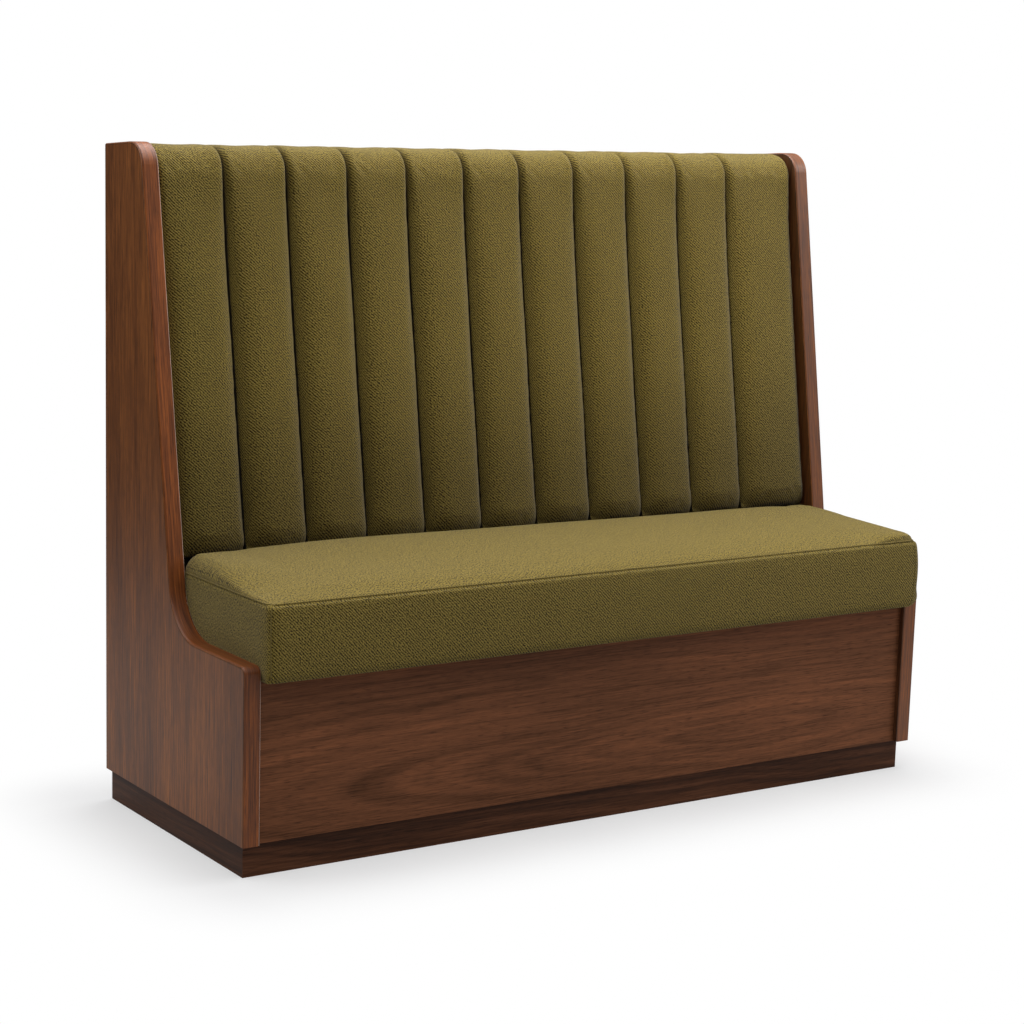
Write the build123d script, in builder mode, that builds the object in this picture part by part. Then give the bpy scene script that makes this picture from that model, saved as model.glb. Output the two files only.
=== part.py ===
from build123d import *
import os
from math import cos, pi, radians, sin, tan

# Restaurant booth bench: two shaped end panels, a box plinth, a ribbed plywood frame,
# a back of upright padded channels and a box cushion that lifts off its frame.
# Millimetres and degrees. X runs along the bench, +Y points to its back and +Z up.
# The origin lies on the floor, under the middle of the whole bench.

# Overall sizes
overall_length = 1500.0
overall_height = 1216.0
panel_depth = 555.0
seat_overhang = 26.0
back_rake = 9.0

# End panels
panel_thickness = 32.0
low_front_height = 370.0
low_front_depth = 273.0
seat_hollow_radius = 100.0
top_corner_radius = 45.0
panel_crest_length = 50.0
panel_crest_round = 120.0
panel_top_fall = 6.0
low_corner_radius = 13.0
edge_round = 3.5

# Plinth
plinth_height = 60.0
plinth_thickness = 18.0
plinth_front_recess = 23.0
plinth_side_recess = 11.5
plinth_block_leg = 42.0

# Front, rear and frame boards
front_panel_thickness = 18.0
front_panel_recess = 12.0
rear_panel_thickness = 9.0
rear_panel_lip = 18.0
rib_thickness = 18.0
rib_spacing = 356.0
rib_lap = 150.0
rail_thickness = 27.0
rail_height = 70.0
rail_block_leg = 48.0
cleat_height = 45.0
wall_rail_height = 90.0
wall_rail_base = 205.0
top_rail_height = 60.0
top_rail_round = 14.0
back_board_thickness = 15.0

# Seat
seat_base_height = 341.0
seat_side_height = 135.0
seat_crown = 31.0
seat_side_gap = 0.6
seat_back_gap = 4.0
seat_drawn_in = 3.0
seat_toe_round = 9.0
seat_rear_round = 16.0
seat_corner_round = 9.0
seat_end_length = 120.0
seat_board_thickness = 15.0
seat_board_margin = 14.0
locating_block_width = 40.0
locating_block_length = 120.0
locating_block_height = 20.0
locating_clearance = 3.0

# Padded back
channel_count = 11
first_channel_width = 134.0
last_channel_width = 168.0
channel_setback = 13.0
channel_depth = 34.0
channel_crease = 12.0
channel_shoulder = 9.0
channel_top_drop = 6.0
channel_inner_round = 11.0
channel_corner_steps = 4
channel_seam = 0.6
channel_base_height = 490.0
pad_end_gap = 0.6
pad_rear_gap = 0.4

# Bolts and nuts of the ribs, and the holes for wall bolts
bolt_radius = 4.0
bolt_clearance = 0.1
bolt_head_height = 5.3
bolt_edge_margin = 45.0
bolt_point = 2.5
hexagon_across_flats = 13.0
nut_height = 6.5
wall_hole_radius = 4.0
wall_hole_spacing = 560.0

# Planes and heights that several pieces share
front_edge_y = seat_overhang - (panel_depth + seat_overhang) / 2
back_edge_y = front_edge_y + panel_depth
inner_x = overall_length / 2 - panel_thickness
front_panel_y = front_edge_y + front_panel_recess
front_panel_back_y = front_panel_y + front_panel_thickness
front_rail_back_y = front_panel_back_y + rail_thickness
rear_panel_y = back_edge_y - rear_panel_thickness
rail_base_height = seat_base_height - rail_height
cleat_base_height = seat_base_height - cleat_height
seat_seam_height = seat_base_height + seat_side_height
wall_rail_y = rear_panel_y - rail_thickness
wall_rail_top = wall_rail_base + wall_rail_height
board_setback = channel_setback + channel_depth
rib_setback = board_setback + back_board_thickness
pad_top_height = overall_height - channel_top_drop - channel_depth
top_rail_base = pad_top_height - top_rail_height


def raked_y(setback, height):
    """Place, at a height, of the plane that lies a setback behind the panels' raked edge."""
    corner_y = front_edge_y + low_front_depth
    rise = height - low_front_height
    return corner_y + rise * tan(radians(back_rake)) + setback / cos(radians(back_rake))


seat_rear_y = raked_y(channel_setback, seat_seam_height + seat_crown) - seat_back_gap
rear_rail_y = seat_rear_y - rail_thickness

os.makedirs("parts", exist_ok=True)


def save(piece, name):
    """Label a finished piece and write its file."""
    piece.part.label = name
    export_step(piece.part, f"parts/{name}.step")


def board(x_limits, y_limits, z_limits):
    """A straight board between three pairs of limits."""
    with BuildPart() as piece:
        with BuildSketch(Plane.XY.offset(z_limits[0])):
            with Locations((sum(x_limits) / 2, sum(y_limits) / 2)):
                Rectangle(x_limits[1] - x_limits[0], y_limits[1] - y_limits[0])
        extrude(amount=z_limits[1] - z_limits[0])
    return piece


def profile_board(outline, x_limits):
    """A board cut to an outline in side view, between two limits along the bench."""
    with BuildPart() as piece:
        with BuildSketch(Plane.YZ.offset(x_limits[0])):
            with BuildLine():
                Polyline(*outline, close=True)
            make_face()
        extrude(amount=x_limits[1] - x_limits[0])
    return piece


# End panels
def end_panel(side):
    """One shaped end panel, with its front and top edges rounded on both faces."""
    outline = [
        (front_edge_y, plinth_height),
        (front_edge_y, low_front_height),
        (front_edge_y + low_front_depth, low_front_height),
        (raked_y(0, overall_height), overall_height),
        (raked_y(0, overall_height) + panel_crest_length, overall_height),
        (back_edge_y, overall_height - panel_top_fall),
        (back_edge_y, plinth_height),
    ]
    corner_radii = [
        0,
        low_corner_radius,
        seat_hollow_radius,
        top_corner_radius,
        panel_crest_round,
        0,
        0,
    ]
    with BuildPart() as panel:
        with BuildSketch(Plane.YZ.offset(min(side * inner_x, side * overall_length / 2))):
            with BuildLine():
                FilletPolyline(*outline, radius=corner_radii, close=True)
            make_face()
        extrude(amount=panel_thickness)
        rims = panel.faces().filter_by(Axis.X).edges()
        shown_rims = rims.filter_by(
            lambda edge: edge.center().Y < back_edge_y - edge_round
            and edge.center().Z > plinth_height + edge_round
        )
        fillet(shown_rims, edge_round)
    return panel


save(end_panel(-1), "left_end_panel")
save(end_panel(1), "right_end_panel")

# Plinth: four mitred boards, three crosspieces under the ribs and four glue blocks
plinth_x = overall_length / 2 - plinth_side_recess
plinth_front_y = front_edge_y + plinth_front_recess
plinth_inner_x = plinth_x - plinth_thickness
plinth_inner_front_y = plinth_front_y + plinth_thickness
plinth_inner_back_y = back_edge_y - plinth_thickness


def plinth_board(plan):
    """A plinth board with mitred ends, from its outline in plan."""
    with BuildPart() as piece:
        with BuildSketch():
            with BuildLine():
                Polyline(*plan, close=True)
            make_face()
        extrude(amount=plinth_height)
    return piece


def glue_blocks(corners, leg, z_limits):
    """Triangular glue blocks, one in each corner, given with the signs of its two legs."""
    with BuildPart() as blocks:
        with BuildSketch(Plane.XY.offset(z_limits[0])):
            for x, y, x_sign, y_sign in corners:
                with BuildLine():
                    Polyline((x, y), (x + x_sign * leg, y), (x, y + y_sign * leg), close=True)
                make_face()
        extrude(amount=z_limits[1] - z_limits[0])
    return blocks


plinth_front = plinth_board(
    [
        (-plinth_x, plinth_front_y),
        (plinth_x, plinth_front_y),
        (plinth_inner_x, plinth_inner_front_y),
        (-plinth_inner_x, plinth_inner_front_y),
    ]
)
save(plinth_front, "plinth_front")

plinth_rear = plinth_board(
    [
        (-plinth_x, back_edge_y),
        (plinth_x, back_edge_y),
        (plinth_inner_x, plinth_inner_back_y),
        (-plinth_inner_x, plinth_inner_back_y),
    ]
)
save(plinth_rear, "plinth_rear")

for side, name in ((-1, "plinth_left"), (1, "plinth_right")):
    plinth_side = plinth_board(
        [
            (side * plinth_x, plinth_front_y),
            (side * plinth_x, back_edge_y),
            (side * plinth_inner_x, plinth_inner_back_y),
            (side * plinth_inner_x, plinth_inner_front_y),
        ]
    )
    save(plinth_side, name)

rib_laps = [-rib_spacing, 0.0, rib_spacing]
for number, lap_x in enumerate(rib_laps, start=1):
    crosspiece = board(
        (lap_x - plinth_thickness / 2, lap_x + plinth_thickness / 2),
        (plinth_inner_front_y, plinth_inner_back_y),
        (0, plinth_height),
    )
    save(crosspiece, f"plinth_crosspiece_{number}")

plinth_corners = [
    (side * plinth_inner_x, y, -side, inward)
    for side in (-1, 1)
    for y, inward in ((plinth_inner_front_y, 1), (plinth_inner_back_y, -1))
]
save(glue_blocks(plinth_corners, plinth_block_leg, (0, plinth_height)), "plinth_corner_blocks")

# Front panel, and the rails and cleats that carry the seat
front_panel = board(
    (-inner_x, inner_x), (front_panel_y, front_panel_back_y), (plinth_height, seat_base_height)
)
save(front_panel, "front_panel")

seat_front_rail = board(
    (-inner_x, inner_x), (front_panel_back_y, front_rail_back_y), (rail_base_height, seat_base_height)
)
save(seat_front_rail, "seat_front_rail")

seat_rear_rail = board(
    (-inner_x, inner_x), (rear_rail_y, seat_rear_y), (rail_base_height, seat_base_height)
)
save(seat_rear_rail, "seat_rear_rail")

for side, name in ((-1, "seat_cleat_left"), (1, "seat_cleat_right")):
    seat_cleat = board(
        sorted((side * (inner_x - rail_thickness), side * inner_x)),
        (front_rail_back_y, rear_rail_y),
        (cleat_base_height, seat_base_height),
    )
    save(seat_cleat, name)

rail_corners = [
    (side * inner_x, y, -side, inward)
    for side in (-1, 1)
    for y, inward in ((front_rail_back_y, 1), (rear_rail_y, -1))
]
rail_corner_blocks = glue_blocks(rail_corners, rail_block_leg, (rail_base_height, cleat_base_height))
save(rail_corner_blocks, "rail_corner_blocks")

# Ribs: each seat rib reaches back beside a back rib, and two bolts clamp the pair
lap_back_y = seat_rear_y + rib_lap


def bolt_planes(x):
    """Planes across a rib pair, one at each bolt, that face the bolt's head."""
    places = [
        (seat_rear_y + bolt_edge_margin, plinth_height + bolt_edge_margin),
        (lap_back_y - bolt_edge_margin, rail_base_height - bolt_edge_margin),
    ]
    return [Plane(origin=(x, y, z), x_dir=(0, 1, 0), z_dir=(-1, 0, 0)) for y, z in places]


def bolt_drilled(rib, x):
    """A rib with its two bolt holes."""
    with BuildPart() as result:
        add(rib.part)
        with Locations(*bolt_planes(x)):
            Hole(bolt_radius + bolt_clearance)
    return result


# A seat rib stands on the plinth, and its top is notched for the two seat rails
seat_rib_outline = [
    (front_panel_back_y, plinth_height),
    (lap_back_y, plinth_height),
    (lap_back_y, rail_base_height),
    (rear_rail_y, rail_base_height),
    (rear_rail_y, seat_base_height),
    (front_rail_back_y, seat_base_height),
    (front_rail_back_y, rail_base_height),
    (front_panel_back_y, rail_base_height),
]
for number, lap_x in enumerate(rib_laps, start=1):
    seat_rib = profile_board(seat_rib_outline, (lap_x - rib_thickness, lap_x))
    save(bolt_drilled(seat_rib, lap_x), f"seat_rib_{number}")

# A back rib stands on the plinth. Its raked front edge rises from a shoulder that the back
# board stands on, and its rear edge is notched for the wall rail.
back_rib_outline = [
    (seat_rear_y, plinth_height),
    (rear_panel_y, plinth_height),
    (rear_panel_y, wall_rail_base),
    (wall_rail_y, wall_rail_base),
    (wall_rail_y, wall_rail_top),
    (rear_panel_y, wall_rail_top),
    (rear_panel_y, top_rail_base),
    (raked_y(rib_setback, top_rail_base), top_rail_base),
    (raked_y(rib_setback, seat_base_height), seat_base_height),
    (seat_rear_y, seat_base_height),
]


outer_ribs = [sorted((side * (inner_x - rib_thickness), side * inner_x)) for side in (-1, 1)]
lapped_ribs = [(lap_x, lap_x + rib_thickness) for lap_x in rib_laps]
for number, x_limits in enumerate(sorted([*outer_ribs, *lapped_ribs], key=sum), start=1):
    back_rib = profile_board(back_rib_outline, x_limits)
    if x_limits in lapped_ribs:
        back_rib = bolt_drilled(back_rib, x_limits[0])
    save(back_rib, f"back_rib_{number}")

# Rails and boards of the back
wall_hole_height = (wall_rail_base + wall_rail_top) / 2
wall_hole_planes = [
    Plane(origin=(x, back_edge_y, wall_hole_height), x_dir=(1, 0, 0), z_dir=(0, 1, 0))
    for x in (-wall_hole_spacing / 2, wall_hole_spacing / 2)
]


def wall_drilled(piece):
    """A board with the two holes for the bolts that hold the bench to a wall."""
    with BuildPart() as result:
        add(piece.part)
        with Locations(*wall_hole_planes):
            Hole(wall_hole_radius)
    return result


wall_rail = board((-inner_x, inner_x), (wall_rail_y, rear_panel_y), (wall_rail_base, wall_rail_top))
save(wall_drilled(wall_rail), "wall_rail")

rear_panel = board(
    (-inner_x, inner_x), (rear_panel_y, back_edge_y), (plinth_height, pad_top_height + rear_panel_lip)
)
save(wall_drilled(rear_panel), "rear_panel")

back_board_outline = [
    (raked_y(board_setback, seat_base_height), seat_base_height),
    (raked_y(rib_setback, seat_base_height), seat_base_height),
    (raked_y(rib_setback, top_rail_base), top_rail_base),
    (raked_y(board_setback, top_rail_base), top_rail_base),
]
save(profile_board(back_board_outline, (-inner_x, inner_x)), "back_board")

top_rail_outline = [
    (raked_y(board_setback, top_rail_base), top_rail_base),
    (raked_y(board_setback, pad_top_height), pad_top_height),
    (rear_panel_y, pad_top_height),
    (rear_panel_y, top_rail_base),
]
with BuildPart() as top_rail:
    with BuildSketch(Plane.YZ.offset(-inner_x)):
        with BuildLine():
            FilletPolyline(*top_rail_outline, radius=[0, top_rail_round, 0, 0], close=True)
        make_face()
    extrude(amount=2 * inner_x)
save(top_rail, "top_rail")

# Padded channels: a crowned section lofted up the rake and over the top rail. Each station is
# a place (y, z) on the pad's back, the route's lean there and the share of the full depth,
# which follows a quarter circle at both ends.
rake = radians(back_rake)
corner_turn = pi / 2 - rake
corner_start_height = pad_top_height - channel_inner_round * tan(corner_turn / 2) * cos(rake)
corner_centre_y = raked_y(board_setback, corner_start_height) + channel_inner_round * cos(rake)
corner_centre_height = pad_top_height - channel_inner_round
end_turns = [radians(turn) for turn in (20, 40, 65, 90)]

channel_stations = []
for turn in end_turns:
    height = channel_base_height + channel_depth * (1 - cos(turn)) * cos(rake)
    channel_stations.append((raked_y(board_setback, height), height, rake, sin(turn)))
for step in range(channel_corner_steps + 1):
    lean = rake + corner_turn * step / channel_corner_steps
    corner_y = corner_centre_y - channel_inner_round * cos(lean)
    corner_height = corner_centre_height + channel_inner_round * sin(lean)
    channel_stations.append((corner_y, corner_height, lean, 1))
for turn in reversed(end_turns):
    rear_y = rear_panel_y - pad_rear_gap - channel_depth * (1 - cos(turn))
    channel_stations.append((rear_y, pad_top_height, pi / 2, sin(turn)))


def channel_section(plane, width, share):
    """A channel's section: a flat back, drawn-in sides, round shoulders and a crowned face."""
    half_width = width / 2
    rise = channel_crease * share
    shoulder = channel_shoulder * share
    side_depth = channel_depth * share - rise
    reach = half_width - shoulder
    crown_radius = (reach**2 + rise**2 - shoulder**2) / (2 * (rise - shoulder))
    crown_share = crown_radius / (crown_radius - shoulder)
    meet_x = reach * crown_share
    meet_depth = side_depth + rise - crown_radius + (crown_radius - rise) * crown_share
    with BuildSketch(plane) as section:
        with BuildLine():
            Polyline((-half_width, side_depth), (-half_width, 0), (half_width, 0), (half_width, side_depth))
            TangentArc((-half_width, side_depth), (-meet_x, meet_depth), tangent=(0, 1))
            ThreePointArc((-meet_x, meet_depth), (0, side_depth + rise), (meet_x, meet_depth))
            TangentArc((half_width, side_depth), (meet_x, meet_depth), tangent=(0, 1))
        make_face()
    return section.sketch


def back_channel(left, right):
    """One padded channel between two seams."""
    sections = []
    for y, height, lean, share in channel_stations:
        place = ((left + right) / 2, y, height)
        plane = Plane(origin=place, x_dir=(1, 0, 0), z_dir=(0, -sin(lean), -cos(lean)))
        sections.append(channel_section(plane, right - left, share))
    with BuildPart() as channel:
        loft(sections, ruled=True)
    return channel


pad_limit = inner_x - pad_end_gap
channel_pitch = (2 * inner_x - first_channel_width - last_channel_width) / (channel_count - 2)
seams = [-inner_x + first_channel_width + channel_pitch * step for step in range(channel_count - 1)]
channel_lefts = [-pad_limit] + [seam + channel_seam / 2 for seam in seams]
channel_rights = [seam - channel_seam / 2 for seam in seams] + [pad_limit]
for number, (left, right) in enumerate(zip(channel_lefts, channel_rights), start=1):
    save(back_channel(left, right), f"back_channel_{number:02d}")

# Seat cushion: a box with drawn-in faces and a crowned top, lofted through side views
seat_half_length = inner_x - seat_side_gap
seat_front_y = front_edge_y - seat_overhang
# Each station near an end: its distance as a share of the end's length, then the shares
# of the corner's rounding and of the crown there
seat_station_shares = [
    (0.0, 1.0, 0.12),
    (0.04, 0.28, 0.3),
    (0.1, 0.06, 0.44),
    (0.2, 0.0, 0.58),
    (0.45, 0.0, 0.73),
    (1.0, 0.0, 0.87),
    (2.0, 0.0, 0.95),
    (3.6, 0.0, 0.99),
]
crown_shoulder_share = 0.3
crown_shoulder_rise_share = 0.76
crown_sag_share = 0.1


def seat_section(x, inset, crown):
    """Side view of the cushion at one place along it, from its inset and its crown."""
    seam_y = seat_front_y + seat_drawn_in + inset
    depth = seat_rear_y - seam_y
    shoulder = (seam_y + depth * crown_shoulder_share, seat_seam_height + crown * crown_shoulder_rise_share)
    rise_middle = (
        (seam_y + shoulder[0]) / 2,
        (seat_seam_height + shoulder[1]) / 2 + crown * crown_sag_share,
    )
    rear_top = (seat_rear_y - seat_rear_round, seat_seam_height + crown)
    turned_back = seat_rear_round * (1 - sin(radians(45)))
    with BuildSketch(Plane.YZ.offset(x)) as section:
        with BuildLine():
            Line((seat_rear_y, seat_base_height), (seam_y + seat_toe_round, seat_base_height))
            RadiusArc(
                (seam_y + seat_toe_round, seat_base_height),
                (seam_y, seat_base_height + seat_toe_round),
                seat_toe_round,
            )
            ThreePointArc(
                (seam_y, seat_base_height + seat_toe_round),
                (seam_y - seat_drawn_in, (seat_base_height + seat_seam_height) / 2),
                (seam_y, seat_seam_height),
            )
            rise = ThreePointArc((seam_y, seat_seam_height), rise_middle, shoulder)
            TangentArc(shoulder, rear_top, tangent=rise % 1)
            ThreePointArc(
                rear_top,
                (seat_rear_y - turned_back, rear_top[1] - turned_back),
                (seat_rear_y, rear_top[1] - seat_rear_round),
            )
            Line((seat_rear_y, rear_top[1] - seat_rear_round), (seat_rear_y, seat_base_height))
        make_face()
    return section.sketch


# The board that stiffens the seat lies in a pocket in the cushion's underside
board_half_length = seat_half_length - seat_board_margin
seat_board = board(
    (-board_half_length, board_half_length),
    (seat_front_y + seat_drawn_in + seat_board_margin, seat_rear_y - seat_board_margin),
    (seat_base_height, seat_base_height + seat_board_thickness),
)
save(seat_board, "seat_board")

left_stations = [
    (
        seat_end_length * place_share - seat_half_length,
        seat_corner_round * round_share,
        seat_crown * crown_share,
    )
    for place_share, round_share, crown_share in seat_station_shares
]
right_stations = [(-x, inset, crown) for x, inset, crown in reversed(left_stations)]
with BuildPart() as seat_cushion:
    stations = left_stations + [(0, 0, seat_crown)] + right_stations
    loft([seat_section(*station) for station in stations], ruled=True)
    add(seat_board.part, mode=Mode.SUBTRACT)
save(seat_cushion, "seat_cushion")

block_right = inner_x - rail_thickness - locating_clearance
block_rows = [
    (front_rail_back_y + locating_clearance, front_rail_back_y + locating_clearance + locating_block_width),
    (rear_rail_y - locating_clearance - locating_block_width, rear_rail_y - locating_clearance),
]
block_x = block_right - locating_block_length / 2
block_places = [(side * block_x, sum(row) / 2) for side in (-1, 1) for row in block_rows]
with BuildPart() as locating_blocks:
    with BuildSketch(Plane.XY.offset(seat_base_height)):
        with Locations(*block_places):
            Rectangle(locating_block_length, locating_block_width)
    extrude(amount=-locating_block_height)
save(locating_blocks, "seat_locating_blocks")

# Bolts and nuts that clamp the lapped ribs
bolt_length = 2 * rib_thickness + nut_height + bolt_point
with BuildPart() as rib_bolts:
    for lap_x in rib_laps:
        for plane in bolt_planes(lap_x - rib_thickness):
            with BuildSketch(plane):
                RegularPolygon(hexagon_across_flats / 2, 6, major_radius=False)
            extrude(amount=bolt_head_height)
            with Locations(plane):
                Cylinder(bolt_radius, bolt_length, align=(Align.CENTER, Align.CENTER, Align.MAX))
save(rib_bolts, "rib_bolts")

with BuildPart() as rib_nuts:
    for lap_x in rib_laps:
        for plane in bolt_planes(lap_x + rib_thickness):
            with BuildSketch(plane):
                RegularPolygon(hexagon_across_flats / 2, 6, major_radius=False)
                Circle(bolt_radius + bolt_clearance, mode=Mode.SUBTRACT)
            extrude(amount=-nut_height)
save(rib_nuts, "rib_nuts")
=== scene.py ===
"""Looks of a restaurant booth bench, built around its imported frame.

Walnut-veneered ends, front and plinth carry a back of eleven padded channels and a box
seat cushion, both covered in an olive-brown diagonal twill. Every length is in metres in
the frame's own axes: X along the bench, +Y to its back and +Z up.
"""

import logging
import math
from dataclasses import dataclass, field, replace
from enum import Enum
from functools import partial
from typing import Callable

import bpy
import numpy as np
from mathutils import Matrix, Vector
from mathutils.bvhtree import BVHTree


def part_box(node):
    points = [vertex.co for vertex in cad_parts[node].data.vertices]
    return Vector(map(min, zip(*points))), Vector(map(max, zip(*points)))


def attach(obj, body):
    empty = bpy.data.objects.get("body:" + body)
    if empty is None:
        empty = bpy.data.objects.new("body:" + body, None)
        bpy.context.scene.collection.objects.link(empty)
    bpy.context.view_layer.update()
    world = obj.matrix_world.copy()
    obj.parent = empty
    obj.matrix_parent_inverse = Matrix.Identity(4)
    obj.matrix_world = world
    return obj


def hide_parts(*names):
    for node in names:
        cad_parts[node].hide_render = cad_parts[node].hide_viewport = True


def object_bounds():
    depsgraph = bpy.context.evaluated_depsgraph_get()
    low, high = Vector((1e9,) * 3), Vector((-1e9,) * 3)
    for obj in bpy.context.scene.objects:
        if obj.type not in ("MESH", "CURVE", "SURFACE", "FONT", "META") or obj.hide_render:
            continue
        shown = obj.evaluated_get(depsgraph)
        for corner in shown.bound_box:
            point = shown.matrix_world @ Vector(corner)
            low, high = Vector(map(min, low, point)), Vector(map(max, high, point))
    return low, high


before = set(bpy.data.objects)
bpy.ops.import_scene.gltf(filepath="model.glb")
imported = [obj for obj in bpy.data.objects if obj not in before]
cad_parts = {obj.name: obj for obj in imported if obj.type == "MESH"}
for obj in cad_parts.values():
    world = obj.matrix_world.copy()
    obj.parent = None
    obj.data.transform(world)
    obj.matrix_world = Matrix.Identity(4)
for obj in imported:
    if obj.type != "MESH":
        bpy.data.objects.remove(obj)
CAD_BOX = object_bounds()

LOG = logging.getLogger("booth")
MM = 0.001


class Grain(Enum):
    """Which way a board's grain runs, as the axis order (along, across, through)."""

    UPRIGHT = ("Z", "Y", "X")
    LENGTHWISE = ("X", "Z", "Y")
    FRONT_TO_BACK = ("Y", "Z", "X")


def linear(hexcode: str) -> tuple[float, float, float, float]:
    """Turn an sRGB hex colour to the linear values that shaders use.

    Args:
        hexcode: Six hex digits after a hash.

    Returns:
        Linear red, green, blue and an alpha of one.
    """
    channels = [int(hexcode[start : start + 2], 16) / 255 for start in (1, 3, 5)]
    levels = [c / 12.92 if c <= 0.04045 else ((c + 0.055) / 1.055) ** 2.4 for c in channels]
    return (levels[0], levels[1], levels[2], 1.0)


def add_node(
    tree: bpy.types.NodeTree,
    kind: str,
    inputs: dict | None = None,
    stops: list | None = None,
    **settings: object,
) -> bpy.types.Node:
    """Add one node with its settings, its input values and its links.

    Args:
        tree: The node tree that takes the node.
        kind: The node's type, without the ShaderNode that it starts with.
        inputs: Values by socket name or number. A socket is linked, and so is the first
            open output of a node; a hex colour is turned to linear values.
        stops: Places and hex colours of a colour ramp.
        **settings: Attributes of the node.

    Returns:
        The new node.
    """
    node = tree.nodes.new("ShaderNode" + kind)
    for name, value in settings.items():
        setattr(node, name, value)
    for socket, value in (inputs or {}).items():
        if isinstance(value, bpy.types.Node):
            value = next(output for output in value.outputs if output.enabled)
        if isinstance(value, bpy.types.NodeSocket):
            tree.links.new(value, node.inputs[socket])
        else:
            node.inputs[socket].default_value = linear(value) if isinstance(value, str) else value
    if stops:
        elements = node.color_ramp.elements
        while len(elements) < len(stops):
            elements.new(1.0)
        for element, (place, colour) in zip(elements, stops):
            element.position = place
            element.color = linear(colour)
    return node


def new_material(name: str) -> tuple[bpy.types.Material, Callable[..., bpy.types.Node]]:
    """Start a material with an empty node tree.

    Args:
        name: What the finish is and how it is made.

    Returns:
        The material, and a way to add a node to its tree.
    """
    material = bpy.data.materials.new(name)
    material.use_nodes = True
    material.node_tree.nodes.clear()
    return material, partial(add_node, material.node_tree)


def select_only(piece: bpy.types.Object) -> None:
    """Make one object the selected and active one.

    Args:
        piece: The object.
    """
    bpy.ops.object.select_all(action="DESELECT")
    piece.select_set(True)
    bpy.context.view_layer.objects.active = piece


def add_piece(name: str, data: bpy.types.ID) -> bpy.types.Object:
    """Put a new object into the scene.

    Args:
        name: The object's name.
        data: Its mesh, curve, lamp or lens.

    Returns:
        The object.
    """
    piece = bpy.data.objects.new(name, data)
    bpy.context.scene.collection.objects.link(piece)
    return piece


def add_mesh(name: str, vertices: list, polygons: list[list[int]]) -> bpy.types.Object:
    """Put a new mesh into the scene.

    Args:
        name: The piece's name.
        vertices: Its vertices' places.
        polygons: Each polygon's vertices by number.

    Returns:
        The piece.
    """
    mesh = bpy.data.meshes.new(name)
    mesh.from_pydata(vertices, [], polygons)
    return add_piece(name, mesh)


def apply_modifier(piece: bpy.types.Object, kind: str, **settings: object) -> None:
    """Add one modifier with its settings and apply it.

    Args:
        piece: The piece that it changes.
        kind: The modifier's type.
        **settings: Attributes of the modifier.
    """
    select_only(piece)
    modifier = piece.modifiers.new(kind.lower(), kind)
    for name, value in settings.items():
        setattr(modifier, name, value)
    bpy.ops.object.modifier_apply(modifier=modifier.name)


def group_points(piece: bpy.types.Object, name: str, shares: np.ndarray) -> str:
    """Put vertices into a new group by their shares, rounded to tenths.

    Args:
        piece: The piece whose vertices they are.
        name: The group's name.
        shares: For each vertex, how fully it belongs to the group, from 0 to 1.

    Returns:
        The group's name.
    """
    group = piece.vertex_groups.new(name=name)
    levels = np.round(shares, 1)
    for level in np.unique(levels):
        if level > 0:
            group.add(np.flatnonzero(levels == level).tolist(), float(level), "REPLACE")
    return group.name


def points_of(piece: bpy.types.Object) -> np.ndarray:
    """Read a mesh's vertex places.

    Args:
        piece: The mesh's object.

    Returns:
        Rows of x, y and z.
    """
    places = np.empty(len(piece.data.vertices) * 3, np.float64)
    piece.data.vertices.foreach_get("co", places)
    return places.reshape(-1, 3)


def normals_of(piece: bpy.types.Object) -> np.ndarray:
    """Read a mesh's vertex normals.

    Args:
        piece: The mesh's object.

    Returns:
        Rows of x, y and z.
    """
    normals = np.empty(len(piece.data.vertices) * 3, np.float32)
    piece.data.vertex_normals.foreach_get("vector", normals)
    return normals.reshape(-1, 3).astype(np.float64)


def set_points(piece: bpy.types.Object, places: np.ndarray) -> None:
    """Write a mesh's vertex places."""
    piece.data.vertices.foreach_set("co", places.astype(np.float32).ravel())
    piece.data.update()


def smooth_step(values: np.ndarray, low: float, high: float) -> np.ndarray:
    """Ease from 0 at the low value to 1 at the high one.

    Args:
        values: The values to ease.
        low: Where the step starts.
        high: Where it ends; it may lie below low.

    Returns:
        The eased values.
    """
    share = np.clip((values - low) / (high - low), 0.0, 1.0)
    return share * share * (3.0 - 2.0 * share)


def dress(node: str, material: bpy.types.Material) -> None:
    """Give a board or fixing of the frame its finish.

    Args:
        node: The frame node's name.
        material: The finish.
    """
    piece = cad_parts[node]
    if not piece.material_slots:
        piece.data.materials.append(material)
    for place in piece.material_slots:
        place.material = material
    LOG.info("dressed %s in %s", node, material.name)


# Finishes


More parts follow.
